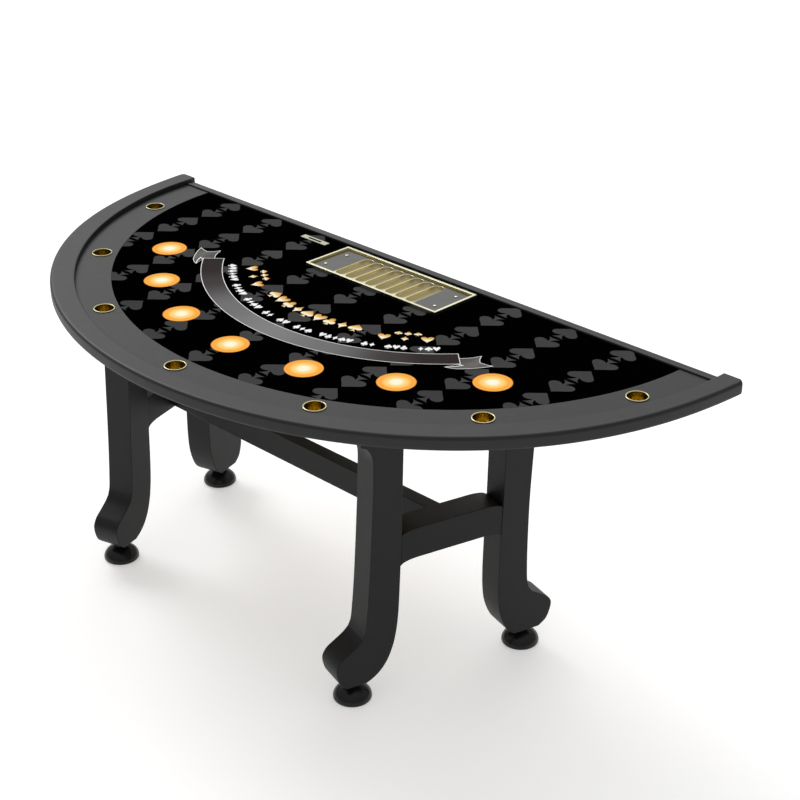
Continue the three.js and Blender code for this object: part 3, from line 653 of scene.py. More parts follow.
def build_strip():
    """Half-round nosing with a raised lip towards the cloth; its ends follow the rail's inner face."""
    y0, y1, up = STRIP_Y0, STRIP_Y1, STRIP_UP
    zb, zt = DECK_BOT, FELT_Z + up
    prof = [(y0, zb), (y0, zt), (y0 + 0.0125, zt), (y0 + 0.0150, zt - 0.0016), (y0 + 0.0175, zt - 0.0004), (y1, zt - 0.0004), (y1, zb)]
    line = fillet(prof, [0.001, 0.0028, 0.002, 0.001, 0.002, 0.0085, 0.002], 6)
    n = 80
    rows = []
    for i in range(n + 1):
        row = []
        for (y, z) in line:
            xe = plan(RAIL_IN_C, theta_at(RAIL_IN_C, y, -GAP), -GAP)[0] - 0.00015
            row.append((xe * (2 * i / n - 1), y, z))
        rows.append(row)
    m = len(line)
    v = [q for row in rows for q in row]
    f = [[i * m + j, i * m + (j + 1) % m, (i + 1) * m + (j + 1) % m, (i + 1) * m + j] for i in range(n) for j in range(m)]
    f += [list(range(m)), list(range(n * m, (n + 1) * m))]
    return make("dealer_edge_nosing", v, f, mat_rail, "table", ["dealer_edge_strip"], smooth=40)


build_strip()

# ------------------------------------------------------------------ cup holders
for i, (cx, cy) in enumerate(cup_xy):
    R0, RR, D, W = 0.0292, 0.0326, 0.062, 0.0013
    prof = [(0, -D), (R0 - 0.006, -D)]
    prof += [(R0 - 0.006 + 0.006 * math.sin(a), -D + 0.006 * (1 - math.cos(a))) for a in [math.pi / 2 * k / 6 for k in range(1, 7)]]
    prof += [(R0, -0.001), (R0, 0.0003), (RR - 0.0008, 0.0003)]
    prof += [(RR - 0.0008 + 0.0008 * math.sin(a), 0.0011 - 0.0008 * math.cos(a)) for a in [math.pi / 2 * k / 3 for k in range(1, 4)]]
    prof += [(RR - 0.0020 + 0.0020 * math.cos(a), 0.0011 + 0.0019 * math.sin(a)) for a in [math.pi / 2 * k / 8 for k in range(1, 9)]]
    rim_in = R0 - W
    prof += [(rim_in + 0.0016 - 0.0016 * math.sin(a), 0.0014 + 0.0016 * math.cos(a)) for a in [math.pi / 2 * k / 6 for k in range(0, 7)]]
    n_rim = len(prof) - 4
    prof += [(rim_in - 0.0002, -0.004), (rim_in - 0.0006, -0.02), (rim_in - 0.0012, -0.044), (rim_in - 0.0016, -D + 0.0085)]
    prof += [(rim_in - 0.0016 - 0.006 + 0.006 * math.cos(a), -D + 0.0085 - 0.006 * math.sin(a)) for a in [math.pi / 2 * k / 7 for k in range(1, 8)]]
    prof += [(0.0155, -D + 0.0025), (0.0145, -D + 0.0018), (0.0135, -D + 0.0018), (0.0125, -D + 0.0025), (0.0035, -D + 0.0027), (0, -D + 0.0027)]
    first_rim = 8
    v, f, fm = lathe(prof, 88, cx, cy, FELT_Z, [1 if first_rim <= j < n_rim else 0 for j in range(len(prof))])
    make(f"cup_{i + 1}_spun", v, f, [mat_cup, mat_cup_rim], f"cup_{i + 1}", [f"cup_holder_{i + 1}"], fmat=fm, smooth=45)


# ------------------------------------------------------------------ chip tray
def build_surround():
    W, D, t = TRAY_W / 2, TRAY_D / 2, TRAY_WALL
    zt = FELT_Z + TRAY_UP
    # wall section, from outside foot round to the inside: (inset from the outer face, z)
    sec = [(0, FELT_Z + GAP), (0, zt), (t, zt), (t, DECK_TOP + GAP), (0.0058, DECK_TOP + GAP), (0.0058, FELT_Z + GAP)]
    line = fillet(sec, [0.0004, 0.0012, 0.0012, 0.0004, 0.0004, 0], 4)
    v, f, fm = [], [], []
    m = len(line)
    for (d, z) in line:
        for sx, sy in ((1, -1), (1, 1), (-1, 1), (-1, -1)):
            v.append((sx * (W - d), TRAY_Y + sy * (D - d), z))
    for j in range(m):
        k = (j + 1) % m
        for c in range(4):
            e = (c + 1) % 4
            f.append([j * 4 + c, j * 4 + e, k * 4 + e, k * 4 + c])
            d0, z0 = line[j]
            d1, z1 = line[k]
            fm.append(1 if d0 > t - 0.0006 and d1 > t - 0.0006 else 0)
    return make("chip_tray_frame", v, f, [mat_frame, mat_frame_gold], "table", ["chip_tray_surround"], fmat=fm, smooth=40, bevel=(0.0006, 2, 60))


build_surround()


def stadium(cx, r, y0, y1, n=14):
    """Closed stadium outline about the line x=cx from y0 to y1."""
    out = []
    for i in range(n + 1):
        a = math.pi * i / n
        out.append((cx + r * math.cos(a), y1 + r * math.sin(a)))
    for i in range(n + 1):
        a = math.pi + math.pi * i / n
        out.append((cx + r * math.cos(a), y0 + r * math.sin(a)))
    return out


def build_insert():
    W, D, t = TRAY_W / 2, TRAY_D / 2, TRAY_WALL
    Wi, Di, zp, tp = W - t - 0.0005, D - t - 0.0005, FELT_Z + 0.0015, 0.003
    top, rim, foot = zp + tp, FELT_Z + 0.0075, DECK_TOP - 0.0027
    r0, pitch, lip = 0.0198, 0.043, 0.0009
    yF, yB = TRAY_Y - Di + 0.0085 + r0, TRAY_Y + Di - 0.010 - r0
    xs = [(i - 3.5) * pitch for i in range(8)]
    V, F, M = [], [], []

    def put(v, f, mi):
        i0 = len(V)
        V.extend(v)
        F.extend([[a + i0 for a in q] for q in f])
        M.extend(mi if isinstance(mi, list) else [mi] * len(f))
    # plate top with stadium openings, a gold field round the flutes
    wi = 0.0024
    hole_r = r0 + lip
    bank = rect(xs[0] - r0 - 0.0016, xs[-1] + r0 + 0.0016, yF - r0 - 0.0040, yB + 0.004)
    p, tr, ids = triangulated([rect(-Wi + wi, Wi - wi, TRAY_Y - Di + wi, TRAY_Y + Di - wi), bank],
                              [stadium(x, hole_r, yF, yB) for x in xs] + [circle(sx * 0.2342, TRAY_Y + sy * 0.046, 0.0023, 16) for sx in (-1, 1) for sy in (-1, 1)])
    put([(x, y, top) for x, y in p], tr, [2 if 1 in s else 0 for s in ids])
    # rim: inside wall, top, outside wall, underside
    rings = [(wi, top), (wi, rim - 0.0008), (wi - 0.0003, rim - 0.0002), (wi - 0.0009, rim), (0.0008, rim), (0.0002, rim - 0.0003), (0, rim - 0.0009), (0, foot), (wi, foot), (wi, zp)]
    rv = []
    for d, z in rings:
        rv += [(-Wi + d, TRAY_Y - Di + d, z), (Wi - d, TRAY_Y - Di + d, z), (Wi - d, TRAY_Y + Di - d, z), (-Wi + d, TRAY_Y + Di - d, z)]
    rf = [[j * 4 + c, j * 4 + (c + 1) % 4, (j + 1) * 4 + (c + 1) % 4, (j + 1) * 4 + c] for j in range(len(rings) - 1) for c in range(4)]
    put(rv, rf, 1)
    # underside with the outer shells of the flutes
    ro = 0.02125
    p, tr, _ = triangulated([rect(-Wi + wi, Wi - wi, TRAY_Y - Di + wi, TRAY_Y + Di - wi)],
                            [stadium(x, ro, yF, yB) for x in xs] + [circle(sx * 0.2342, TRAY_Y + sy * 0.046, 0.0023, 16) for sx in (-1, 1) for sy in (-1, 1)])
    put([(x, y, zp) for x, y in p], [q[::-1] for q in tr], 0)
    for sx in (-1, 1):
        for sy in (-1, 1):
            c = circle(sx * 0.2342, TRAY_Y + sy * 0.046, 0.0023, 16)
            put([(x, y, top) for x, y in c] + [(x, y, zp) for x, y in c], [[i, (i + 1) % 16, 16 + (i + 1) % 16, 16 + i] for i in range(16)], 0)
    K = 13
    for x in xs:
        lines = [(hole_r, top), (hole_r - 0.00035, top - 0.00008), (hole_r - 0.0007, top - 0.0004), (r0, top - 0.0010)]
        lines += [(r0 * math.cos(math.pi / 2 * k / K), top - 0.0010 - (r0 - 0.0004) * math.sin(math.pi / 2 * k / K)) for k in range(1, K + 1)]
        L = []
        for r, z in lines:
            L.append([(a, b, z) for a, b in stadium(x, max(r, 1e-6), yF, yB)])
        m = len(L[0])
        # the first rings round each flute's lip take the brightened ridge brass: painted highlight lines
        put([q for l in L for q in l], [[j * m + i, j * m + (i + 1) % m, (j + 1) * m + (i + 1) % m, (j + 1) * m + i] for j in range(len(L) - 1) for i in range(m)],
            [3 if j < 3 else 2 for j in range(len(L) - 1) for i in range(m)])
        L = []
        for k in range(K + 1):
            a = math.pi / 2 * k / K
            L.append([(p_, q_, (zp if k == 0 else zp + 0.0006 - ro * math.sin(a) - 0.0006 * math.cos(a))) for p_, q_ in stadium(x, max(ro * math.cos(a), 1e-6), yF, yB)])
        put([q for l in L for q in l], [[j * m + i, (j + 1) * m + i, (j + 1) * m + (i + 1) % m, j * m + (i + 1) % m] for j in range(len(L) - 1) for i in range(m)], 0)
    return make("chip_tray_flutes", V, F, [mat_plate, mat_frame_gold, mat_trough, mat_ridge], "chip_tray", ["chip_tray_insert"], fmat=M, smooth=40, merge=2e-6)


build_insert()
zs = FELT_Z + 0.0015
k = 0
for sx in (-1, 1):
    for sy in (-1, 1):
        k += 1
        prof = [(0, -0.0022), (0.0019, -0.0022), (0.0019, 0.0033), (0.0050, 0.0033), (0.0052, 0.0036)]
        prof += [(0.0052 * math.cos(a), 0.0040 + 0.0021 * math.sin(a)) for a in [math.pi / 2 * j / 7 for j in range(0, 7)]]
        prof += [(0.0016, 0.0060), (0.0012, 0.0052), (0, 0.0050)]
        v, f, fm = lathe(prof, 36, sx * 0.2342, TRAY_Y + sy * 0.046, zs)
        make(f"tray_screw_head_{k}", v, f, mat_screw, "chip_tray", [f"tray_screw_{k}"], smooth=35)


# ------------------------------------------------------------------ drop slot plate
def build_slot():
    X, Y = SLOT_X, SLOT_Y
    z0, z1 = FELT_Z + GAP, FELT_Z + 0.0026
    outer, slot = rect(X - 0.057, X + 0.057, Y - 0.0115, Y + 0.0115, 0.003, 6), rect(X - 0.029, X + 0.029, Y - 0.0042, Y + 0.0042, 0.0018, 4)
    lip = rect(X - 0.0297, X + 0.0297, Y - 0.0049, Y + 0.0049, 0.0024, 4)
    neck = rect(X - 0.0335, X + 0.0335, Y - 0.0065, Y + 0.0065, 0.001, 4)
    V, F, M = [], [], []

    def put(v, f, mi=0):
        i0 = len(V)
        V.extend(v)
        F.extend([[a + i0 for a in q] for q in f])
        M.extend([mi] * len(f))

    def band(a, za, b, zb, mi=0):
        m = len(a)
        put([(x, y, za) for x, y in a] + [(x, y, zb) for x, y in b], [[i, (i + 1) % m, m + (i + 1) % m, m + i] for i in range(m)], mi)
    edge = rect(X - 0.0563, X + 0.0563, Y - 0.0108, Y + 0.0108, 0.0025, 6)
    p, t, _ = triangulated([edge], [lip])
    put([(x, y, z1) for x, y in p], t)
    band(edge, z1, outer, z1 - 0.0007)
    band(outer, z1 - 0.0007, outer, z0)
    band(lip, z1, slot, z1 - 0.0008)
    zb = DECK_BOT - 0.008
    # throat walls take the near-black material: painted shade in the recess
    band(slot, z1 - 0.0008, slot, zb, 1)
    p, t, _ = triangulated([outer], [neck])
    put([(x, y, z0) for x, y in p], [q[::-1] for q in t])
    band(neck, z0, neck, zb)
    p, t, _ = triangulated([neck], [slot])
    put([(x, y, zb) for x, y in p], [q[::-1] for q in t])
    return make("drop_slot_bezel", V, F, [mat_slot, mat_throat_shade], "table", ["drop_slot_plate"], fmat=M, smooth=35, merge=2e-6)


build_slot()


# ------------------------------------------------------------------ printed cloth
def spade(s=1.0):
    half = catmull([(0.0, 85.6), (12.4, 73.4), (24.6, 62.6), (34.4, 53.4), (40.2, 46.4), (41.9, 40.2), (40.6, 33.4), (36.4, 27.8),
                    (30.0, 24.4), (22.4, 23.4), (14.6, 24.8), (8.2, 28.0), (4.2, 31.5)], 3)
    stem = catmull([(4.2, 31.5), (5.0, 24.0), (8.0, 17.0), (12.8, 10.6), (19.6, 4.6)], 3)[1:]
    base = [(10.0, 6.6)]
    right = half + stem + base
    pts = right + [(0.0, 7.0)] + [(-x, y) for x, y in reversed(right[1:])]
    return [(x * 0.001 * s, y * 0.001 * s) for x, y in pts]


def unit(poly):
    """Centres a pip on its box and scales it to height 1."""
    xs, ys = [p[0] for p in poly], [p[1] for p in poly]
    cx, cy, h = (min(xs) + max(xs)) / 2, (min(ys) + max(ys)) / 2, max(ys) - min(ys)
    return [((x - cx) / h, (y - cy) / h) for x, y in poly]


SPADE = spade()
PIP_SPADE = [unit(SPADE)]
_heart = catmull([(0.0, -0.5), (0.14, -0.28), (0.33, -0.06), (0.46, 0.16), (0.47, 0.34), (0.36, 0.47), (0.20, 0.48), (0.07, 0.38), (0.0, 0.24)], 3)
PIP_HEART = [_heart + [(-x, y) for x, y in reversed(_heart[1:-1])]]
_dia = catmull([(0.0, 0.5), (0.13, 0.22), (0.36, 0.0)], 3) + catmull([(0.36, 0.0), (0.13, -0.22), (0.0, -0.5)], 3)[1:]
PIP_DIAMOND = [_dia + [(-x, y) for x, y in reversed(_dia[1:-1])]]
_stem = [(0.03, 0.06), (0.05, -0.22), (0.10, -0.38), (0.19, -0.5)]
PIP_CLUB = [circle(0, 0.27, 0.225, 22), circle(-0.235, -0.09, 0.225, 22), circle(0.235, -0.09, 0.225, 22),
            _stem + [(-x, y) for x, y in reversed(_stem)]]
SUITS = [PIP_SPADE, PIP_HEART, PIP_CLUB, PIP_DIAMOND]


def build_felt():
    slots = [mat_felt, mat_spade, mat_white, mat_spot_glowing, mat_gold, mat_ribbon, mat_tail]
    outer = arc(FELT_C, -GAP, TOP_END, 220)
    hole = rect(-0.2712, 0.2712, TRAY_Y - 0.0867, TRAY_Y + 0.0867)
    slot = rect(SLOT_X - 0.034, SLOT_X + 0.034, SLOT_Y - 0.007, SLOT_Y + 0.007)
    regions = [(outer, 0, 0, None)]            # polygon, priority, material, uv

    # spade pairs, stem to stem
    for kx in range(-5, 6):
        for ky in range(-1, 6):
            cx, cy = kx * 0.192 * U, to_y(-0.1906 - 0.1703 * ky)
            if not (cy < TOP_END + 0.09 and math.hypot(cx, POLE - cy) < 1.32):
                continue
            for s in (1, -1):
                regions.append(([(cx + x, cy + s * y) for x, y in SPADE], 1, 1, None))
    # ribbon
    cy0 = to_y(-0.0308)
    r_in, r_out, a_end = 0.6145 * U, 0.6765 * U, math.radians(48.4)
    line = 0.0021

    def arcband(r0, r1, a, n=72):
        o = [(r1 * math.sin(-a + 2 * a * i / n), cy0 - r1 * math.cos(-a + 2 * a * i / n)) for i in range(n + 1)]
        i_ = [(r0 * math.sin(-a + 2 * a * i / n), cy0 - r0 * math.cos(-a + 2 * a * i / n)) for i in range(n + 1)]
        return o + i_[::-1]
    regions.append((arcband(r_in, r_out, a_end), 6, 2, None))
    regions.append((arcband(r_in + line, r_out - line, a_end - line / r_out), 7, 5,
                    lambda x, y: (abs(math.atan2(x, cy0 - y)) / a_end, 0.5)))

    def rp(px, py):
        """Drawing point of the ribbon's tail to the plan, left side."""
        return ((380 + px / 3.5 - 800) / 640 * U, to_y(0.15 - (300 + py / 3.5) / 640))
    tail = catmull([rp(185, 252), rp(232, 266), rp(270, 270)], 4) + catmull([rp(270, 270), rp(298, 240), rp(322, 198)], 4)[1:] \
        + catmull([rp(322, 198), rp(352, 262), rp(398, 318)], 4)[1:] + [rp(345, 374)] \
        + catmull([rp(318, 368), rp(340, 410), rp(378, 456)], 4) + catmull([rp(378, 456), rp(318, 430), rp(262, 374), rp(215, 308), rp(185, 252)], 4)[1:-1]
    # the cut end of the band folds back under itself
    fold = [rp(318, 368), rp(350, 374), rp(378, 456), rp(345, 416)]
    for s in (1, -1):
        for poly, pr, mi in ((tail, 3, 6), (fold, 4, 0)):
            q = [(s * x, y) for x, y in poly]
            x0 = s * rp(185, 252)[0]
            x1 = s * rp(398, 318)[0]
            regions.append((q, pr, 2, None))
            regions.append((inset(q, line * (0.95 if mi == 6 else 0.8)), pr + 0.5, mi, (lambda x, y, x0=x0, x1=x1: (abs((x - x0) / (x1 - x0) - 0.45) * 1.6, 0.5)) if mi == 6 else None))
    # betting spots
    for x, y in ((-0.6906, 0.0999), (-0.5035, -0.0804), (-0.2638, -0.1984), (0.0, -0.2365), (0.2638, -0.1984), (0.5035, -0.0804), (0.6906, 0.0999)):
        regions.append((circle(x, y, 0.0550, 96), 9, 3, lambda a, b, x=x, y=y: ((a - x) / 0.0550, (b - y) / 0.0550)))

    # pips on arcs
    def pip(suit, radius, ang, size, mi, squash=1.0):
        c, s = math.cos(ang), math.sin(ang)
        cx, cy = radius * math.sin(ang), cy0 - radius * math.cos(ang)
        for poly in suit:
            q = [(cx + size * squash * x * c - size * y * s, cy + size * squash * x * s + size * y * c) for x, y in poly]
            regions.append((q, 8, mi, lambda a, b, cx=cx, cy=cy, c=c, s=s: (0.5, (-(a - cx) * s + (b - cy) * c) / size + 0.5)))
    for i in range(9):
        a = math.radians(-18.2 + 36.4 * i / 8)
        pip(SUITS[i % 4], 0.5067 * U, a, 0.0465, 4, 0.92)
    for sgn in (-1, 1):
        for j, (a, r, size, su) in enumerate(((40.6, 0.531, 0.039, 1), (34.2, 0.531, 0.032, 3), (28.0, 0.531, 0.039, 1),
                                              (37.6, 0.498, 0.023, 0), (34.6, 0.498, 0.023, 2), (31.6, 0.498, 0.023, 0))):
            pip(SUITS[su], r * U, math.radians(sgn * a), size, 4)
    words = [6, 4, 4, 2, 2, 3, 5, 2, 3, 3]
    total = sum(words) + 1.15 * (len(words) - 1)
    pos, kk = 0.0, 0
    a0 = math.radians(44.2)
    for w in words:
        for _ in range(w):
            ang = -a0 + 2 * a0 * (pos + 0.5) / total
            pip(SUITS[kk % 4], 0.5865 * U, ang, 0.0275, 2, 0.80)
            pos += 1
            kk += 1
        pos += 1.15

    rolls = [0.0006, 0.0014, 0.0026, 0.0042]
    extra = []
    for d in rolls:
        loop = arc(FELT_C, -GAP - d, TOP_END - d, 220)
        extra.append(loop + [loop[0]])
    pts, tris, ids = triangulated([r[0] for r in regions], [hole, slot], extra)
    keep, mi, uvs = [], [], []
    for t, own in zip(tris, ids):
        if 0 not in own:
            continue
        top = max(own, key=lambda i: regions[i][1])
        keep.append(t)
        mi.append(regions[top][2])
        fn = regions[top][3]
        uvs.append([fn(*pts[i]) if fn else (0.0, 0.0) for i in t])
    # height: the edge turns down over the foam
    yend = TOP_END

    def depth(x, y):
        t = math.atan2(x, POLE - y)
        r = math.hypot(x, POLE - y)
        d = min(poly_r(FELT_C, t) * U - GAP - r, yend - y)
        d = max(0.0, d)
        q = min(1.0, d / 0.0042)
        return 0.0010 * (1 - math.sqrt(max(0.0, 1 - (1 - q) ** 2)))
    used = sorted({i for t in keep for i in t})
    at = {k_: i for i, k_ in enumerate(used)}
    n = len(used)
    T = 0.0016
    V = [(pts[i][0], pts[i][1], FELT_Z - depth(*pts[i])) for i in used] + [(pts[i][0], pts[i][1], FELT_Z - T) for i in used]
    F, UV, seen = [], [], set()
    for t, q in zip(keep, uvs):
        t = [at[i] for i in t]
        F.append(t)
        UV.extend(q)
        for a, b in zip(t, t[1:] + t[:1]):
            seen.add((a, b))
    M = list(mi)
    for t in list(F):
        F.append([i + n for i in reversed(t)])
        UV.extend([(0.0, 0.0)] * 3)
        M.append(0)
    for a, b in sorted(seen):
        if (b, a) not in seen:
            F.append([b, a, a + n, b + n])
            UV.extend([(0.0, 0.0)] * 4)
            M.append(0)
    o = make("felt_layout_cloth", V, F, slots, "table", ["felt_layout"], fmat=M, smooth=40, uv=UV, keep_normals=True, merge=0)
    for t in keep:
        (x0, y0), (x1, y1), (x2, y2) = (pts[i] for i in t)
    return o


felt = build_felt()

# ------------------------------------------------------------------ trestles
FOOT_REAR, FOOT_FRONT = (0.6329, -0.3598), (0.4901, -0.8594)
sdx, sdy = FOOT_FRONT[0] - FOOT_REAR[0], FOOT_FRONT[1] - FOOT_REAR[1]
S_LEN = math.hypot(sdx, sdy)
sdx, sdy = sdx / S_LEN, sdy / S_LEN
LEG_T, ST = 0.045, 0.044
HEAD_Z = FELT_Z - 0.064
COVE_W, COVE_H = 0.036, 0.062


def hz(z):
    return FELT_Z + z * FELT_Z / 0.8368


def place(s, z, t, side):
    return (side * FOOT_REAR[0] * U + side * sdx * s - side * sdy * t, to_y(FOOT_REAR[1]) + sdy * s + sdx * t, z)


frontBack = [(0.3895, -0.118), (0.3918, -0.2227), (0.3945, -0.368), (0.398, -0.4518), (0.4012, -0.53),
             (0.4045, -0.59), (0.409, -0.632), (0.418, -0.677), (0.4336, -0.718), (0.4545, -0.748), (0.477, -0.766), (0.497, -0.776)]
frontKick = [(0.5545, -0.776), (0.5727, -0.759), (0.583, -0.733), (0.5848, -0.7085), (0.5727, -0.688), (0.55, -0.6727),
             (0.5227, -0.6545), (0.509, -0.641)]
frontFront = [(0.509, -0.641), (0.5015, -0.622), (0.4965, -0.58), (0.491, -0.514), (0.4845, -0.4045), (0.48, -0.3136),
              (0.4758, -0.2227), (0.4745, -0.145)]
rearInner = [(0.0885, -0.118), (0.0909, -0.2045), (0.0945, -0.3636), (0.098, -0.4409), (0.1009, -0.532), (0.1022, -0.60),
             (0.1015, -0.641), (0.097, -0.686), (0.088, -0.718), (0.0755, -0.7455), (0.0636, -0.762), (0.0455, -0.776)]
rearKick = [(-0.032, -0.776), (-0.0545, -0.759), (-0.0665, -0.732), (-0.0695, -0.709), (-0.059, -0.691), (-0.036, -0.6745),
            (-0.009, -0.657), (0.0055, -0.638)]
rearRear = [(0.0055, -0.638), (0.0105, -0.615), (0.0128, -0.57), (0.0136, -0.50), (0.0132, -0.43), (0.0115, -0.355),
            (0.0073, -0.268), (0.0035, -0.2), (0.0013, -0.145)]


def leg_outline(front):
    def cv(pts):
        return catmull([(p[0] * U, hz(p[1])) for p in pts], 5)
    a, k_, f = (cv(frontBack), cv(frontKick), cv(frontFront)[1:]) if front else (cv(rearInner), cv(rearKick), cv(rearRear)[1:])
    sign = 1 if front else -1
    sx, zx = f[-1]
    head = [(sx + sign * COVE_W * (1 - math.cos(math.pi / 2 * i / 8)), zx + COVE_H * math.sin(math.pi / 2 * i / 8)) for i in range(1, 9)]
    return [(a[0][0], HEAD_Z)] + a + k_ + f + head + [(sx + sign * COVE_W, HEAD_Z)]


def board(name, outline, t0, t1, side, mat, nodes, bevel=(0.0022, 3, 40), body="table"):
    n = len(outline)
    v = [place(s, z, t0, side) for s, z in outline] + [place(s, z, t1, side) for s, z in outline]
    f = [list(range(n)), list(range(2 * n - 1, n - 1, -1))] + [[i, (i + 1) % n, n + (i + 1) % n, n + i] for i in range(n)]
    return make(name, v, f, mat, body, nodes, smooth=30, bevel=bevel)


for side, tag in ((-1, "left"), (1, "right")):
    for front in (True, False):
        nm = "front" if front else "rear"
        board(f"leg_{nm}_{tag}_shaped", leg_outline(front), -LEG_T, LEG_T, side, mat_leg_shaded, [f"leg_{nm}_{tag}"])
        s_foot = S_LEN * U if front else 0.0
        fx, fy, _ = place(s_foot, 0, 0, side)
        neck_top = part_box(f"foot_insert_{nm}_{tag}")[0].z - GAP
        prof = [(0, 0), (0.0485, 0), (0.0535, 0.0012), (0.0556, 0.0042), (0.0560, 0.0078), (0.0556, 0.0120), (0.0542, 0.0170), (0.0516, 0.0222),
                (0.0478, 0.0276), (0.0428, 0.0328), (0.0368, 0.0376), (0.0300, 0.0424), (0.0240, 0.0464), (0.0204, 0.0494), (0.0188, 0.0524),
                (0.0181, 0.0556), (0.0180, neck_top - 0.0006), (0.0174, neck_top), (0.005, neck_top), (0.005, 0.092), (0, 0.092)]
        v, f, fm = lathe(prof, 96, fx, fy, 0.0)
        make(f"levelling_foot_{nm}_{tag}_dome", v, f, mat_foot, f"foot_{nm}_{tag}", [f"levelling_foot_{nm}_{tag}"], smooth=50)
    # arched side stretcher, flush with the legs, its ends against the leg faces
    leg_f, leg_r = leg_outline(True), leg_outline(False)

    def face_s(curve, z):
        pts = catmull([(p[0] * U, hz(p[1])) for p in curve], 5)
        for (s0, z0), (s1, z1) in zip(pts, pts[1:]):
            if (z0 - z) * (z1 - z) <= 0 and z0 != z1:
                return s0 + (s1 - s0) * (z - z0) / (z1 - z0)
        return pts[0][0]
    K = 60
    sA, sB = 0.0985 * U, 0.3965 * U
    up, dn = [], []
    for i in range(K + 1):
        fr = i / K
        e = min(fr, 1 - fr) * (sB - sA) / U
        rise = 0.0125 * math.sqrt(max(0.0, 1 - max(0.0, 1 - e / 0.055) ** 2))
        for lst, base in ((up, -0.3675), (dn, -0.4535)):
            z = hz(base + rise)
            s = sA + (sB - sA) * fr
            a_, b_ = face_s(rearInner, z) + 0.0004, face_s(frontBack, z) - 0.0004
            if i == 0:
                s = a_
            if i == K:
                s = b_
            lst.append((min(max(s, a_), b_), z))
    board(f"side_stretcher_{tag}_arched", dn + up[::-1], -ST, ST, side, mat_stretch_shaded, [f"side_stretcher_{tag}"], bevel=(0.0018, 3, 40))

# middle stretcher
s_mid = (FOOT_REAR[1] + Y_MID) / -sdy * U
xC = FOOT_REAR[0] * U + sdx * s_mid
T2 = 0.0223
Z0, Z1 = hz(-0.4335), hz(-0.357) - 0.0006


def xi(y):
    return xC + (sdx / sdy) * y - (ST + 0.0004) / abs(sdy)


plan4 = [(-xi(-T2), -T2), (xi(-T2), -T2), (xi(T2), T2), (-xi(T2), T2)]
v = [(x, y, Z0) for x, y in plan4] + [(x, y, Z1) for x, y in plan4]
f = [[3, 2, 1, 0], [4, 5, 6, 7]] + [[i, (i + 1) % 4, 4 + (i + 1) % 4, 4 + i] for i in range(4)]
make("middle_stretcher_board", v, f, mat_stretch_shaded, "table", ["middle_stretcher"], smooth=30, bevel=(0.0022, 3))


# ------------------------------------------------------------------ carried-over CAD nodes
def dress(name, mat, bevel=None):
    o = N[name]
    o.data.materials.clear()
    o.data.materials.append(mat)
    if bevel:
        b = o.modifiers.new("edge", "BEVEL")
        b.width, b.segments, b.limit_method, b.angle_limit = bevel, 2, "ANGLE", math.radians(40)
        w = o.modifiers.new("wn", "WEIGHTED_NORMAL")
        w.keep_sharp = True


dress("top_deck", mat_ply)
dress("foam_underlay", mat_foam)
for tag in ("left", "right"):
    # the top bearers take the darkened lacquer so they read as painted shade under the top
    dress(f"top_bearer_{tag}", mat_stretch_shaded, 0.0015)
    dress(f"drop_box_runner_{tag}", mat_steel, 0.0003)
    for i in (1, 2):
        dress(f"bearer_screw_{tag}_{i}", mat_steel)
    for nm in ("front", "rear"):
        dress(f"foot_insert_{nm}_{tag}", mat_steel)
for nm in ("front", "rear"):
    dress(f"cross_rail_{nm}", mat_stretch_shaded, 0.0015)
for i in range(1, 7):
    dress(f"rail_plate_{i}", mat_steel, 0.0004)
dress("drop_box", mat_powder, 0.0004)
dress("drop_box_door", mat_powder, 0.0004)
dress("drop_box_hinge_pin", mat_steel)
dress("drop_box_lock", mat_steel, 0.0003)

# ------------------------------------------------------------------ stage, light
fl = bpy.data.meshes.new("floor")
fl.from_pydata([(-60, -60, 0), (60, -60, 0), (60, 60, 0), (-60, 60, 0)], [], [(0, 1, 2, 3)])
floor = bpy.data.objects.new("floor", fl)
bpy.context.scene.collection.objects.link(floor)
mf, nt, b = material("floor_white", (0.85, 0.85, 0.85), 0.9)
b.inputs["Emission Color"].default_value = (1, 1, 1, 1)
b.inputs["Emission Strength"].default_value = 0.38
b.inputs["Specular IOR Level"].default_value = 0.0
fl.materials.append(mf)

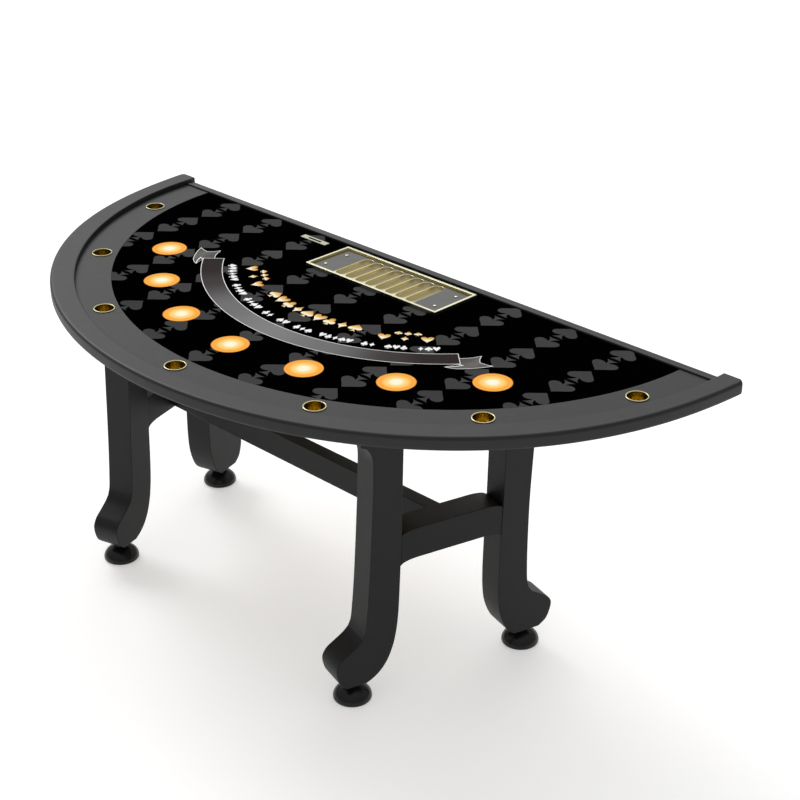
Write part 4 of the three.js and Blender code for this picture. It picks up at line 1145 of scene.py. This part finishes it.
sc = bpy.context.scene
world = bpy.data.worlds.new("studio")
sc.world = world
world.use_nodes = True
wt = world.node_tree
bg = wt.nodes["Background"]
tc = wt.nodes.new("ShaderNodeTexCoord")
sp = wt.nodes.new("ShaderNodeSeparateXYZ")
wt.links.new(tc.outputs["Generated"], sp.inputs[0])
cr = wt.nodes.new("ShaderNodeValToRGB")
cr.color_ramp.elements[0].position, cr.color_ramp.elements[0].color = 0.0, (0.30, 0.30, 0.30, 1)
cr.color_ramp.elements[1].position, cr.color_ramp.elements[1].color = 0.9, (0.62, 0.62, 0.62, 1)
wt.links.new(sp.outputs[2], cr.inputs[0])
dt = wt.nodes.new("ShaderNodeVectorMath")
dt.operation = "DOT_PRODUCT"
dt.inputs[1].default_value = Vector((-0.50, 0.53, 0.69)).normalized()
wt.links.new(tc.outputs["Generated"], dt.inputs[0])
soft = wt.nodes.new("ShaderNodeMapRange")
soft.interpolation_type = "SMOOTHSTEP"
soft.inputs["From Min"].default_value = 0.82
soft.inputs["From Max"].default_value = 1.0
soft.inputs["To Min"].default_value = 0.0
soft.inputs["To Max"].default_value = 1.0
wt.links.new(dt.outputs["Value"], soft.inputs["Value"])
mx = wt.nodes.new("ShaderNodeMix")
mx.data_type = "RGBA"
mx.inputs[7].default_value = (2.0, 2.0, 2.0, 1)
wt.links.new(soft.outputs["Result"], mx.inputs[0])
wt.links.new(cr.outputs[0], mx.inputs[6])
wt.links.new(mx.outputs[2], bg.inputs[0])
bg.inputs[1].default_value = 1.0


def area(name, loc, target, size, power, color=(1, 1, 1)):
    d = bpy.data.lights.new(name, "AREA")
    d.shape, d.size, d.size_y, d.energy, d.color = "RECTANGLE", size[0], size[1], power, color
    o = bpy.data.objects.new(name, d)
    sc.collection.objects.link(o)
    o.location = loc
    o.rotation_euler = (Vector(target) - Vector(loc)).to_track_quat("-Z", "Y").to_euler()
    return o


def sun(name, direction, angle, power):
    d = bpy.data.lights.new(name, "SUN")
    d.energy, d.angle = power, math.radians(angle)
    o = bpy.data.objects.new(name, d)
    sc.collection.objects.link(o)
    o.rotation_euler = Vector(direction).to_track_quat("-Z", "Y").to_euler()
    return o


sun("key", (0.62, -0.12, -0.50), 28, 1.2)
sc.view_settings.view_transform = "Standard"
sc.view_settings.look = "None"
sc.view_settings.exposure = 0.0
sc.view_settings.gamma = 1.0
